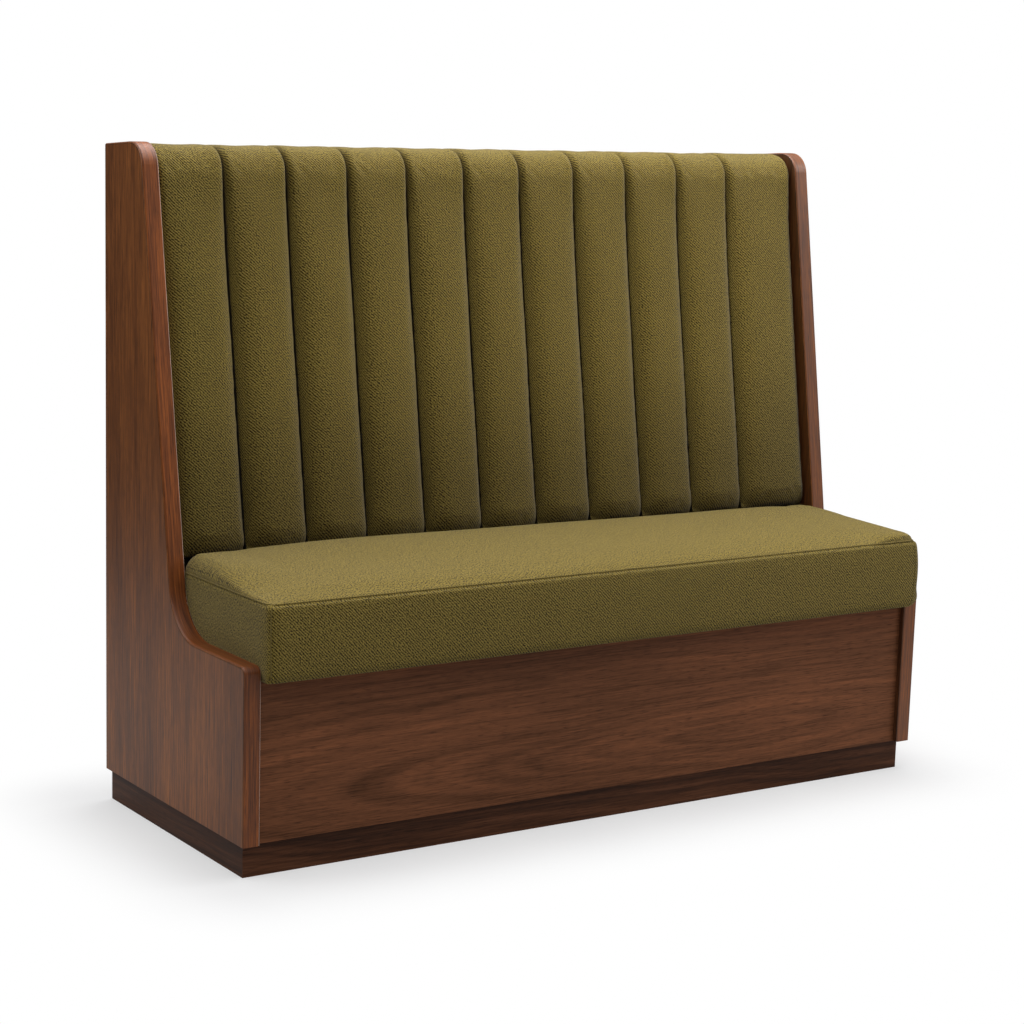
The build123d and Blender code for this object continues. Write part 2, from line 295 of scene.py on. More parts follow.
@dataclass(frozen=True)
class VeneerFinish:
    """Walnut veneer under a satin lacquer, sliced and laid up on board.

    The pith is the middle of the growth rings: how far it lies across, behind and along the
    board sets how the rings arch. The climb is how much deeper it lies for each metre along.
    """

    name: str
    grain: Grain
    dark: str = "#351c0d"
    middle: str = "#5b3620"
    light: str = "#824f2f"
    pore: str = "#1f1007"
    pith_across: float = 0.0
    pith_behind: float = 0.05
    pith_along: float = 0.0
    climb: float = 0.05
    ring_pitch: float = 9 * MM
    wander: float = 22 * MM
    streak_length: float = 110 * MM
    streak_width: float = 2.6 * MM
    pore_length: float = 26 * MM
    pore_width: float = 1.1 * MM
    lipped: bool = False
    lipping: str = "#fae4c6"
    # Painted light and shade: the lipping's level below and above seat level, and the heights where it
    # changes
    lipping_light_low: float = 1.0
    lipping_light_high: float = 1.0
    light_change: tuple[float, float] = (350 * MM, 650 * MM)
    # Painted highlight on the inner edge: its colour and how strongly it is laid on
    arris: str = "#e0c8b8"
    glint_share: float = 0.0
    # Painted shade on the inner side: the share of its colour that is kept
    inner_shade: float = 1.0
    gloss: float = 0.12
    figure: float = 0.5
    seed: float = 0.0

    def material(self) -> bpy.types.Material:
        """Build the veneer: arched growth rings, fine streaks along the grain and dark pores.

        Returns:
            The finished material.
        """
        material, node = new_material(self.name)
        coordinates = node("TexCoord")
        split = node("SeparateXYZ", {0: coordinates.outputs["Object"]})
        along, across, through = [split.outputs[axis] for axis in self.grain.value]
        edge = None
        if self.lipped:
            # The streaks are spread across the panel's thickness on its lipped edge, and
            # across its depth on its two faces
            facing = node("SeparateXYZ", {0: coordinates.outputs["Normal"]})
            flat = node("Math", {0: facing.outputs["X"]}, operation="ABSOLUTE")
            edge = node("MapRange", {"Value": flat, "From Min": 0.75, "From Max": 0.6})
            across = node("Mix", {0: edge, 2: across, 3: through}, data_type="FLOAT")
        board = node("CombineXYZ", {0: along, 1: across, 2: self.seed})

        # Slow wander of the grain, a finger's width over half a metre
        slow = node("Mapping", {"Vector": board, "Scale": (2.4, 9.0, 1.0)})
        drift = node("TexNoise", {"Vector": slow, "Scale": 1.0, "Detail": 2.0})
        bend = node("MapRange", {"Value": drift, "To Min": -self.wander, "To Max": self.wander})
        bent = node("Math", {0: across, 1: bend}, operation="ADD")
        aside = node("Math", {0: bent, 1: self.pith_across}, operation="SUBTRACT")
        onward = node("Math", {0: along, 1: self.pith_along}, operation="SUBTRACT")
        depth = node("Math", {0: onward, 1: self.climb, 2: self.pith_behind}, operation="MULTIPLY_ADD")
        arm = node("CombineXYZ", {0: aside, 1: depth})
        reach = node("VectorMath", {0: arm}, operation="LENGTH")
        ring = node("Math", {0: reach, 1: self.ring_pitch}, operation="DIVIDE")
        change = node("Math", {0: along, 1: 1.3}, operation="MULTIPLY")
        ring_place = node("CombineXYZ", {0: ring, 1: change, 2: self.seed})
        rings = node("TexNoise", {"Vector": ring_place, "Scale": 1.0, "Detail": 3.0, "Roughness": 0.6})

        # Fine streaks, a match's width across and a hand long
        fine = node(
            "Mapping", {"Vector": board, "Scale": (1 / self.streak_length, 1 / self.streak_width, 1.0)}
        )
        streaks = node(
            "TexNoise",
            {"Vector": fine, "Scale": 1.0, "Detail": 3.0, "Roughness": 0.65, "Distortion": 0.15},
        )
        # Open pores, dark dashes drawn about three times as coarse as real ones so they show
        dashes = node(
            "Mapping", {"Vector": board, "Scale": (1 / self.pore_length, 1 / self.pore_width, 1.0)}
        )
        pores = node("TexNoise", {"Vector": dashes, "Scale": 1.0, "Detail": 1.0})
        pore_mask = node("MapRange", {"Value": pores, "From Min": 0.56, "From Max": 0.7, "To Max": 0.55})
        # Broad clouds of redder and greyer wood, a hand wide
        broad = node(
            "Mapping", {"Vector": board, "Scale": (1.6, 7.0, 1.0), "Location": (self.seed, 3.1, 0.0)}
        )
        clouds = node("TexNoise", {"Vector": broad, "Scale": 1.0, "Detail": 2.0})

        ringed = node("Math", {0: rings, 1: self.figure}, operation="MULTIPLY")
        tone = node("Math", {0: streaks, 1: 0.86 - self.figure, 2: ringed}, operation="MULTIPLY_ADD")
        tone = node("Math", {0: clouds, 1: 0.26, 2: tone}, operation="MULTIPLY_ADD")
        wood = node(
            "ValToRGB", {"Fac": tone}, stops=[(0.40, self.dark), (0.56, self.middle), (0.74, self.light)]
        )
        colour = node("Mix", {0: pore_mask, 6: wood, 7: self.pore}, data_type="RGBA")
        if edge is not None:
            height, sideways = split.outputs["Z"], facing.outputs["X"]
            colour = self.over_lipping(node, height, sideways, flat, edge, colour)

        rough = node("MapRange", {"Value": streaks, "To Min": 0.36, "To Max": 0.52})
        bump = node("Bump", {"Strength": 0.25, "Distance": 0.12 * MM, "Height": tone})
        # Satin lacquer: IOR 1.5, a soft highlight that leaves the grain open
        surface = node(
            "BsdfPrincipled",
            {
                "Base Color": colour,
                "Roughness": rough,
                "IOR": 1.5,
                "Specular IOR Level": self.gloss,
                "Normal": bump,
            },
        )
        node("OutputMaterial", {"Surface": surface})
        return material

    def over_lipping(
        self,
        node: Callable[..., bpy.types.Node],
        height: bpy.types.NodeSocket,
        sideways: bpy.types.NodeSocket,
        flat: bpy.types.Node,
        edge: bpy.types.Node,
        colour: bpy.types.Node,
    ) -> bpy.types.Node:
        """Colour an end panel's solid lipping and the joint beside it, and paint light and shade: the
        lipping's tone by height, shade on the inner side and a highlight on the arris.

        Args:
            node: Adds a node to the material.
            height: A place's height.
            sideways: How far its face turns along the bench, with its sign.
            flat: The same without its sign.
            edge: How fully it lies on the lipping.
            colour: The veneer's colour.

        Returns:
            The panel's colour.
        """
        # Solid walnut lipping behind a fine dark joint line; its tone is painted light and shade, one level
        # below seat level and another above it
        level = node(
            "MapRange",
            {
                "Value": height,
                "From Min": self.light_change[0],
                "From Max": self.light_change[1],
                "To Min": self.lipping_light_low,
                "To Max": self.lipping_light_high,
            },
        )
        lip = node("VectorMath", {0: linear(self.lipping)[:3], 3: level}, operation="SCALE")
        colour = node("Mix", {0: edge, 6: colour, 7: lip}, data_type="RGBA", blend_type="MULTIPLY")
        joint = node("Math", {0: flat, 1: 0.985, 2: 0.014}, operation="COMPARE")
        joint = node("Math", {0: joint, 1: 0.75}, operation="MULTIPLY")
        colour = node("Mix", {0: joint, 6: colour, 7: self.pore}, data_type="RGBA")
        # Painted shade: the side turned to the sitter is darkened, as it lies in shade
        inner = node("Math", {0: sideways, 1: -0.85}, operation="LESS_THAN")
        kept = node("MapRange", {"Value": inner, "To Min": 1.0, "To Max": self.inner_shade})
        colour = node("VectorMath", {0: colour, 3: kept}, operation="SCALE")
        # Painted highlight: a thin pale line beside the padding, where the rounded edge would catch the
        # light
        glint_mask = node("Math", {0: sideways, 1: 0.74, 2: 0.17}, operation="COMPARE")
        glint_mask = node("Math", {0: glint_mask, 1: self.glint_share}, operation="MULTIPLY")
        return node("Mix", {0: glint_mask, 6: colour, 7: self.arris}, data_type="RGBA")


@dataclass(frozen=True)
class PineFinish:
    """Planed pine of the hidden rails and blocks: pale, with soft amber rings."""

    name: str
    grain: Grain
    pale: str = "#d9b985"
    amber: str = "#b98a50"
    ring_pitch: float = 4 * MM
    ring_depth: float = 9 * MM

    def material(self) -> bpy.types.Material:
        """Build the pine.

        Returns:
            The finished material.
        """
        material, node = new_material(self.name)
        coordinates = node("TexCoord")
        split = node("SeparateXYZ", {0: coordinates.outputs["Object"]})
        along, across, through = [split.outputs[axis] for axis in self.grain.value]
        board = node("CombineXYZ", {0: along, 1: across, 2: through})
        # Growth rings of a fast-grown pine, drawn out along the board
        stretched = node(
            "Mapping", {"Vector": board, "Scale": (3.0, 1 / self.ring_pitch, 1 / self.ring_depth)}
        )
        rings = node("TexNoise", {"Vector": stretched, "Scale": 1.0, "Detail": 2.0, "Distortion": 0.4})
        wood = node("ValToRGB", {"Fac": rings}, stops=[(0.35, self.pale), (0.7, self.amber)])
        # Planed and left bare, the wood is matt and its rings can be felt
        bump = node("Bump", {"Strength": 0.2, "Distance": 0.2 * MM, "Height": rings})
        surface = node("BsdfPrincipled", {"Base Color": wood, "Roughness": 0.7, "Normal": bump})
        node("OutputMaterial", {"Surface": surface})
        return material


@dataclass(frozen=True)
class PlywoodFinish:
    """Sanded birch plywood: pale faces, and edges striped by the plies."""

    name: str
    ply_axis: str
    pale: str = "#d8bd92"
    warm: str = "#b98f5c"
    glue: str = "#7a5230"
    ply: float = 1.5 * MM

    def material(self) -> bpy.types.Material:
        """Build the plywood.

        Returns:
            The finished material.
        """
        material, node = new_material(self.name)
        coordinates = node("TexCoord")
        split = node("SeparateXYZ", {0: coordinates.outputs["Object"]})
        facing = node("SeparateXYZ", {0: coordinates.outputs["Normal"]})
        # Plies show as stripes, one ply thick, on every face that isn't the sheet's own
        turns = node(
            "Math", {0: split.outputs[self.ply_axis], 1: math.pi / self.ply}, operation="MULTIPLY"
        )
        wave = node("Math", {0: turns}, operation="SINE")
        stripe = node("MapRange", {"Value": wave, "From Min": -0.4, "From Max": 0.4})
        flat = node("Math", {0: facing.outputs[self.ply_axis]}, operation="ABSOLUTE")
        on_edge = node("Math", {0: flat, 1: 0.5}, operation="LESS_THAN")
        streaked = node("Mapping", {"Vector": coordinates.outputs["Object"], "Scale": (60.0, 60.0, 4.0)})
        figure = node("TexNoise", {"Vector": streaked, "Scale": 1.0, "Detail": 3.0})
        face = node("ValToRGB", {"Fac": figure}, stops=[(0.3, self.pale), (0.75, self.warm)])
        plies = node("Mix", {0: stripe, 6: self.glue, 7: self.pale}, data_type="RGBA")
        colour = node("Mix", {0: on_edge, 6: face, 7: plies}, data_type="RGBA")
        # Sanded and left bare, the sheet has hardly any shine
        surface = node("BsdfPrincipled", {"Base Color": colour, "Roughness": 0.65})
        node("OutputMaterial", {"Surface": surface})
        return material


@dataclass(frozen=True)
class ZincFinish:
    """Bright zinc-plated steel of the bolts, nuts and screws."""

    name: str = "bright_zinc_plated_steel"
    tint: str = "#b9bbb8"
    shaded: str = "#a8aaa6"
    cloud_size: float = 3 * MM

    def material(self) -> bpy.types.Material:
        """Build the plating: a clean metal with faint clouds in its sheen.

        Returns:
            The finished material.
        """
        material, node = new_material(self.name)
        coordinates = node("TexCoord")
        # Clouds of the plating, which break its shine up a little
        clouds = node(
            "TexNoise",
            {"Vector": coordinates.outputs["Object"], "Scale": 1 / self.cloud_size, "Detail": 2.0},
        )
        rough = node("MapRange", {"Value": clouds, "To Min": 0.22, "To Max": 0.42})
        shade = node("ValToRGB", {"Fac": clouds}, stops=[(0.3, self.shaded), (0.7, self.tint)])
        surface = node("BsdfPrincipled", {"Base Color": shade, "Metallic": 1.0, "Roughness": rough})
        node("OutputMaterial", {"Surface": surface})
        return material


@dataclass(frozen=True)
class TwillFinish:
    """Coarse two-and-two twill upholstery cloth, woven of olive and brown yarns."""

    name: str
    warp: str = "#94803c"
    weft: str = "#50431a"
    hollow_shade: str = "#1a1405"
    thread: float = 1.45 * MM
    rib_threads: int = 4
    weakest_rib: float = 0.34
    strongest_rib: float = 0.56
    wander: float = 0.85
    wander_size: float = 8 * MM
    patch_size: float = 11 * MM
    slub_size: float = 2.8 * MM
    slub_gain: float = 2.8
    slub_level: float = -1.45
    cloud_size: float = 70 * MM
    contrast: float = 0.95
    raked_top_gain: float = 3.0
    foot_shade: float = 1.0
    foot: tuple[float, float] = (540 * MM, 880 * MM)
    closed_shade: float = 0.12
    fuzz: float = 0.22
    bloom: str = "#bebec2"

    def material(self) -> bpy.types.Material:
        """Build the weave from the piece's own UV map, which holds metres of cloth.

        Returns:
            The finished material.
        """
        material, node = new_material(self.name)
        coordinates = node("TexCoord")
        cloth = coordinates.outputs["UV"]
        # Yarns wander by up to a thread over the wander's size, which breaks the ribs up
        jitter = node(
            "TexNoise", {"Vector": cloth, "Scale": 1 / self.wander_size, "Detail": 1.0, "Roughness": 0.5}
        )
        centred = node(
            "VectorMath", {0: jitter.outputs["Color"], 1: (0.5, 0.5, 0.5)}, operation="SUBTRACT"
        )
        swing = node("VectorMath", {0: centred, 3: 2 * self.wander}, operation="SCALE")
        counted = node("VectorMath", {0: cloth, 3: 1 / self.thread}, operation="SCALE")
        moved = node("VectorMath", {0: counted, 1: swing}, operation="ADD")
        count = node("SeparateXYZ", {0: moved})
        # Each yarn is a half wave across its width
        rounds = []
        for axis in ("X", "Y"):
            turn = node("Math", {0: count.outputs[axis], 1: math.pi}, operation="MULTIPLY")
            wave = node("Math", {0: turn}, operation="SINE")
            rounds.append(node("Math", {0: wave}, operation="ABSOLUTE"))
        # Ribs slant across the threads: warp floats on one half of each and weft on the other
        sum_count = node("Math", {0: count.outputs["X"], 1: count.outputs["Y"]}, operation="ADD")
        rib_turn = node("Math", {0: sum_count, 1: 2 * math.pi / self.rib_threads}, operation="MULTIPLY")
        rib_wave = node("Math", {0: rib_turn}, operation="SINE")
        warp_up = node("MapRange", {"Value": rib_wave, "From Min": -0.35, "From Max": 0.35})
        yarn = node("Mix", {0: warp_up, 2: rounds[1], 3: rounds[0]}, data_type="FLOAT")
        # Ribs stand up in one patch and sink in the next, so the slant comes and goes
        strength = node("TexNoise", {"Vector": cloth, "Scale": 1 / self.patch_size, "Detail": 1.0})
        rib_share = node(
            "MapRange",
            {
                "Value": strength,
                "From Min": 0.35,
                "From Max": 0.65,
                "To Min": self.weakest_rib,
                "To Max": self.strongest_rib,
            },
        )
        lifted = node("Math", {0: rib_wave, 1: rib_share, 2: yarn}, operation="MULTIPLY_ADD")
        # Slubs: single yarns a little lighter or darker than the next
        slubs = node(
            "TexNoise", {"Vector": cloth, "Scale": 1 / self.slub_size, "Detail": 1.0, "Roughness": 0.6}
        )
        clouds = node("TexNoise", {"Vector": cloth, "Scale": 1 / self.cloud_size, "Detail": 2.0})
        mottled = node("Math", {0: slubs, 1: self.slub_gain, 2: self.slub_level}, operation="MULTIPLY_ADD")
        # Painted light and shade: on faces turned up the ribs get more contrast, standing in for the light
        # raking across them there
        facing = node("SeparateXYZ", {0: coordinates.outputs["Normal"]})
        gain = node(
            "MapRange",
            {
                "Value": facing.outputs["Z"],
                "From Min": 0.4,
                "From Max": 0.9,
                "To Min": self.contrast,
                "To Max": self.contrast * self.raked_top_gain,
            },
        )
        level = node("Math", {0: lifted, 1: -0.55}, operation="ADD")
        varied = node("Math", {0: level, 1: mottled}, operation="ADD")
        tone = node("Math", {0: varied, 1: gain, 2: 0.28}, operation="MULTIPLY_ADD")
        tone = node("Math", {0: clouds, 1: 0.12, 2: tone}, operation="MULTIPLY_ADD")
        # Painted shade: the ramp's darkest stop falls where the yarns' round dips between them
        colour = node(
            "ValToRGB", {"Fac": tone}, stops=[(0.0, self.hollow_shade), (0.3, self.weft), (0.62, self.warp)]
        )
        # Painted shade: the back darkens toward its foot, where less light reaches it
        split = node("SeparateXYZ", {0: coordinates.outputs["Object"]})
        shade = node(
            "MapRange",
            {
                "Value": split.outputs["Z"],
                "From Min": self.foot[0],
                "From Max": self.foot[1],
                "To Min": self.foot_shade,
                "To Max": 1.0,
            },
            interpolation_type="SMOOTHSTEP",
        )
        # Painted shade in the creases: the cloth darkens where the two folds close on each other; the mesh
        # says how deep a place is
        deep = node("Attribute", attribute_name="crease", attribute_type="GEOMETRY")
        open_share = node(
            "MapRange", {"Value": deep.outputs["Fac"], "To Min": 1.0, "To Max": self.closed_shade}
        )
        shade = node("Math", {0: shade, 1: open_share}, operation="MULTIPLY")
        colour = node("VectorMath", {0: colour, 3: shade}, operation="SCALE")
        bump = node("Bump", {"Strength": 0.5, "Distance": 0.6 * MM, "Height": lifted})
        # Spun yarn has no gloss, and its fuzz gives a pale bloom at a slant
        surface = node(
            "BsdfPrincipled",
            {
                "Base Color": colour,
                "Roughness": 0.95,
                "Specular IOR Level": 0.12,
                "Sheen Weight": self.fuzz,
                "Sheen Roughness": 0.5,
                "Sheen Tint": self.bloom,
                "Normal": bump,
            },
        )
        node("OutputMaterial", {"Surface": surface})
        return material


@dataclass(frozen=True)
class ShadeLiningFinish:
    """Near-black cloth over the back board where it shows below the channels: painted shade for the gap."""

    name: str = "painted_shade_lining"
    dark: str = "#14110b"
    light: str = "#241f14"
    thread: float = 1 * MM

    def material(self) -> bpy.types.Material:
        """Build the lining: a fine plain weave, nearly black.

        Returns:
            The finished material.
        """
        material, node = new_material(self.name)
        coordinates = node("TexCoord")
        # Plain weave, one square a thread; it has no gloss, so the board reads as a dark gap of painted
        # shade
        weave = node("TexChecker", {"Vector": coordinates.outputs["Object"], "Scale": 1 / self.thread})
        shade = node("Mix", {0: weave.outputs["Fac"], 6: self.dark, 7: self.light}, data_type="RGBA")
        surface = node(
            "BsdfPrincipled", {"Base Color": shade, "Roughness": 0.95, "Specular IOR Level": 0.1}
        )
        node("OutputMaterial", {"Surface": surface})
        return material


@dataclass(frozen=True)
class ThreadFinish:
    """Twisted polyester sewing thread, a shade lighter than the cloth."""

    name: str = "twisted_polyester_thread"
    tint: str = "#8d7c45"
    shaded: str = "#5f5228"
    twist: float = 0.8 * MM

    def material(self) -> bpy.types.Material:
        """Build the thread: a satin strand with the slant of its twist.

        Returns:
            The finished material.
        """
        material, node = new_material(self.name)
        coordinates = node("TexCoord")
        # The slant of the twist shows as fine stripes
        stripes = node(
            "TexWave",
            {"Vector": coordinates.outputs["Object"], "Scale": 0.3 / self.twist},
            bands_direction="DIAGONAL",
        )
        shade = node("ValToRGB", {"Fac": stripes}, stops=[(0.0, self.shaded), (0.7, self.tint)])
        surface = node("BsdfPrincipled", {"Base Color": shade, "Roughness": 0.55})
        node("OutputMaterial", {"Surface": surface})
        return material


# Padding


@dataclass(frozen=True)
class Stuffing:
    """How foam swells its cover: mesh size, air pressure, steps and the most it may move."""

    cap: float
    frames: int
    voxel: float = 6 * MM
    pressure: float = 4.0
    quality: int = 5


def covered_copy(node: str, name: str, voxel: float) -> bpy.types.Object:
    """Copy a padded solid of the frame and cover it in an even mesh.

    Args:
        node: The frame node that the piece will stand for.
        name: The new piece's name.
        voxel: The mesh size.

    Returns:
        The new piece.
    """
    piece = add_piece(name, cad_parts[node].data.copy())
    piece.data.materials.clear()
    select_only(piece)
    bpy.ops.object.mode_set(mode="EDIT")
    bpy.ops.mesh.select_all(action="SELECT")
    bpy.ops.mesh.remove_doubles(threshold=0.02 * MM)
    bpy.ops.object.mode_set(mode="OBJECT")
    apply_modifier(piece, "REMESH", mode="VOXEL", voxel_size=voxel)
    return piece


def swell(piece: bpy.types.Object, held: np.ndarray, stuffing: Stuffing) -> None:
    """Blow the cover up like cloth over foam, and keep how far each point moves small.

    Args:
        piece: The evenly meshed cover.
        held: For each vertex, how firmly it is sewn down, from 0 to 1.
        stuffing: The pressure and the cap.
    """
    rest = points_of(piece)
    sewn = group_points(piece, "sewn_down", held)
    select_only(piece)
    cloth = piece.modifiers.new("foam_pressure", "CLOTH")
    settings = cloth.settings
    settings.quality = stuffing.quality
    settings.use_pressure = True
    settings.uniform_pressure_force = stuffing.pressure
    settings.effector_weights.gravity = 0.0
    settings.vertex_group_mass = sewn
    cloth.point_cache.frame_start = 1
    cloth.point_cache.frame_end = stuffing.frames
    for step in range(1, stuffing.frames + 1):
        bpy.context.scene.frame_set(step)
    bpy.ops.object.modifier_apply(modifier=cloth.name)
    bpy.context.scene.frame_set(1)
    piece.vertex_groups.clear()
    moved = points_of(piece) - rest
    length = np.linalg.norm(moved, axis=1, keepdims=True)
    LOG.info("%s swelled by up to %.1f mm before the cap", piece.name, length.max() / MM)
    set_points(piece, rest + moved * np.minimum(1.0, stuffing.cap / np.maximum(length, 1e-9)))


def refine(piece: bpy.types.Object) -> None:
    """Add one subdivision level to a finished cover and smooth its shading."""
    apply_modifier(piece, "SUBSURF", levels=1, render_levels=1)
    bpy.ops.object.shade_smooth()


def lay_cloth(piece: bpy.types.Object, panel_map: Callable[[np.ndarray, np.ndarray], np.ndarray]) -> None:
    """Write the cover's UV map, in metres of cloth, one panel of cloth per face.

    Args:
        piece: The finished cover.
        panel_map: Turns corner places and their faces' normals to cloth places.
    """
    mesh = piece.data
    corners = np.empty(len(mesh.loops), np.int64)
    mesh.loops.foreach_get("vertex_index", corners)
    face_normals = np.empty(len(mesh.polygons) * 3, np.float32)
    mesh.polygon_normals.foreach_get("vector", face_normals)
    sizes = np.empty(len(mesh.polygons), np.int64)
    mesh.polygons.foreach_get("loop_total", sizes)
    normals = np.repeat(face_normals.reshape(-1, 3), sizes, axis=0)
    cloth = panel_map(points_of(piece)[corners], normals)
    layer = mesh.uv_layers.new(name="cloth")
    layer.data.foreach_set("uv", cloth.astype(np.float32).ravel())


@dataclass
class BackPadding:
    """The eleven padded channels of the back, sewn along their creases."""

    cloth: bpy.types.Material
    count: int = 11
    depth: float = 34 * MM
    crease_depth: float = 22 * MM
    rake: float = math.radians(9.0)
    inner_round: float = 11 * MM
    crown: float = 3.5 * MM
    left_fall: float = 9 * MM
    right_fall: float = 4.5 * MM
    top_fill: float = 5 * MM
    slit: float = 2.2 * MM
    slit_reach: float = 7 * MM
    gather: float = 0.3 * MM
    gather_reach: float = 16 * MM
    gather_length: float = 7.5 * MM
    gather_beat: float = 23 * MM
    swell_lengths: tuple[float, float, float] = (61 * MM, 37 * MM, 29 * MM)
    left_flank: float = 26 * MM
    right_flank: float = 20 * MM
    crown_reach: float = 240 * MM
    fill_below: float = 110 * MM
    fill_reach: float = 36 * MM
    notch: float = 4.5 * MM
    stuffing: Stuffing = field(default_factory=lambda: Stuffing(cap=2 * MM, frames=10))

    def build(self) -> list[bpy.types.Object]:
        """Make every channel's cover.

        The channels between the two end ones are alike, so one of them is blown up and the
        others start as copies of it.

        Returns:
            The covers from left to right.
        """
        first = self.blown_up(1)
        middle = self.blown_up(2)
        last = self.blown_up(self.count)
        left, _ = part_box("back_channel_02")
        middle_points = points_of(middle)
        covers = [self.finished(first, 1)]
        for number in range(2, self.count):
            low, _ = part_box(f"back_channel_{number:02d}")
            copy = add_piece("channel_cover", middle.data.copy())
            set_points(copy, middle_points + np.array([low.x - left.x, 0.0, 0.0]))
            covers.append(self.finished(copy, number))
        bpy.data.objects.remove(middle)
        covers.append(self.finished(last, self.count))
        return covers

    def blown_up(self, number: int) -> bpy.types.Object:
        """Cover one channel's foam and blow the cover up.

        Args:
            number: The channel's place from the left, from 1.

        Returns:
            The cover, not yet refined.
        """
        node = f"back_channel_{number:02d}"
        low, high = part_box(node)
        piece = covered_copy(node, "channel_shell", self.stuffing.voxel)
        depth, _ = self.depth_and_run(points_of(piece), low, high)
        held = 1.0 - smooth_step(depth, 0.6 * self.crease_depth, 1.25 * self.crease_depth)
        swell(piece, held, self.stuffing)
        refine(piece)
        return piece

    def finished(self, piece: bpy.types.Object, number: int) -> bpy.types.Object:
        """Shape, clothe and register one channel's cover.

        Args:
            piece: The refined cover.
            number: The channel's place from the left, from 1.

        Returns:
            The same cover.
        """
        node = f"back_channel_{number:02d}"
        low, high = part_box(node)
        piece.name = f"channel_cover_{number:02d}"
        self.soften(piece, number, low, high)
        lay_cloth(piece, lambda corner, normal: self.cloth_places(corner, low, high))
        piece.data.materials.clear()
        piece.data.materials.append(self.cloth)
        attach(piece, "frame")
        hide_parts(node)
        LOG.info("built %s with %d faces", piece.name, len(piece.data.polygons))
        return piece

    def bend_centre(self, low: Vector, high: Vector) -> tuple[float, float]:
        """Find the middle of the bend over the top rail.

        Args:
            low: The channel's lowest corner.
            high: Its highest corner.

        Returns:
            The middle's y and z.
        """
        top_back = high.z - self.depth
        # The pad's back passes through the foot's rear bottom edge
        foot_y = low.y + self.depth * math.cos(self.rake)
        corner_y = foot_y + (top_back - low.z) * math.tan(self.rake)
        reach = self.inner_round * math.tan((math.pi / 2 - self.rake) / 2)
        return corner_y + reach, top_back - self.inner_round

    def depth_and_run(
        self, places: np.ndarray, low: Vector, high: Vector
    ) -> tuple[np.ndarray, np.ndarray]:
        """Measure how far points stand off the pad's back, and how far along its route.

        Args:
            places: Points on the cover.
            low: The channel's lowest corner.
            high: Its highest corner.

        Returns:
            Depth off the back, and run up the rake and over the top, both in metres.
        """
        centre_y, centre_z = self.bend_centre(low, high)
        lean_sin, lean_cos = math.sin(self.rake), math.cos(self.rake)
        across = places[:, 1] - centre_y
        up = places[:, 2] - centre_z
        angle = np.arctan2(up, -across)
        turned = np.clip(angle, self.rake, math.pi / 2) - self.rake
        radius = np.hypot(across, up)
        climb = across * lean_sin + up * lean_cos
        front = -across * lean_cos + up * lean_sin
        is_front = angle < self.rake
        is_top = angle > math.pi / 2
        is_front = np.where(is_top & (up < 0), True, is_front)
        depth = np.where(is_front, front, np.where(is_top, up, radius)) - self.inner_round
        mean_radius = self.inner_round + self.depth
        run = np.where(is_front, climb, turned * mean_radius + np.where(is_top, across, 0.0))
        return depth, run + (centre_z - low.z) / lean_cos

    def outward(self, places: np.ndarray, low: Vector, high: Vector) -> np.ndarray:
        """Find the way off the pad's back at each point: up the rake's normal, then upright.

        Args:
            places: Points on the cover.
            low: The channel's lowest corner.
            high: Its highest corner.

        Returns:
            One unit row for each point.
        """
        centre_y, centre_z = self.bend_centre(low, high)
        angle = np.arctan2(places[:, 2] - centre_z, centre_y - places[:, 1])
        angle = np.where(angle < -math.pi / 2, self.rake, angle)
        turned = np.clip(angle, self.rake, math.pi / 2)
        return np.stack([np.zeros(len(places)), -np.cos(turned), np.sin(turned)], axis=1)

    def soften(self, piece: bpy.types.Object, number: int, low: Vector, high: Vector) -> None:
        """Give the cover the slight unevenness of sewn cloth over foam.

        Args:
            piece: The cover.
            number: The channel's place, which seeds the unevenness.
            low: The channel's lowest corner.
            high: Its highest corner.
        """
        places = points_of(piece)
        normals = normals_of(piece)
        depth, run = self.depth_and_run(places, low, high)
        side = np.minimum(places[:, 0] - low.x, high.x - places[:, 0])
        inward = np.sign(low.x + high.x - 2 * places[:, 0])
        in_slit = (1.0 - smooth_step(side, 0.0, self.slit_reach)) * smooth_step(depth, 31 * MM, 20 * MM)
        places[:, 0] += self.slit * inward * in_slit

        # Small gathers beside the creases, and long faint swells over each channel's face
        near_crease = np.exp(-((side / self.gather_reach) ** 2)) * smooth_step(depth, 20 * MM, 27 * MM)
        phase = 2.4 * number
        gathers = np.sin(run / self.gather_length + phase) * np.sin(run / self.gather_beat + 1.7 * phase)
        long, short, wide = self.swell_lengths
        slant = np.sin(run / short + places[:, 0] / wide + 2.0 * phase)
        swells = np.sin(run / long + phase) + 0.7 * slant
        in_face = smooth_step(depth, 20 * MM, 30 * MM)
        shift = self.gather * gathers * near_crease + self.gather * swells * in_face

        # The face stands up in a crown, and its left flank is softer and falls off further
        half = (high.x - low.x) / 2
        rounded = 1.0 - ((places[:, 0] - low.x - half) / half) ** 2
        face_end = (high.z - self.depth - low.z) / math.cos(self.rake)
        below_top = smooth_step(run, face_end + 10 * MM, face_end - self.crown_reach)
        on_left = places[:, 0] - low.x < high.x - places[:, 0]
        fall = np.where(on_left, self.left_fall, self.right_fall)
        width = np.where(on_left, self.left_flank, self.right_flank)
        edges = fall * np.exp(-((side / width) ** 2))
        lift = (self.crown * rounded - edges) * in_face * below_top

        # Over the top the cloth is pulled flat, so only a narrow notch is left at each crease
        at_top = smooth_step(run, face_end - self.fill_below, face_end)
        beside = np.exp(-((side / self.fill_reach) ** 2)) - np.exp(-((side / self.notch) ** 2))
        lift = lift + self.top_fill * beside * at_top * smooth_step(depth, 14 * MM, 22 * MM)
        out = self.outward(places, low, high)
        set_points(piece, places + normals * shift[:, None] + out * lift[:, None])

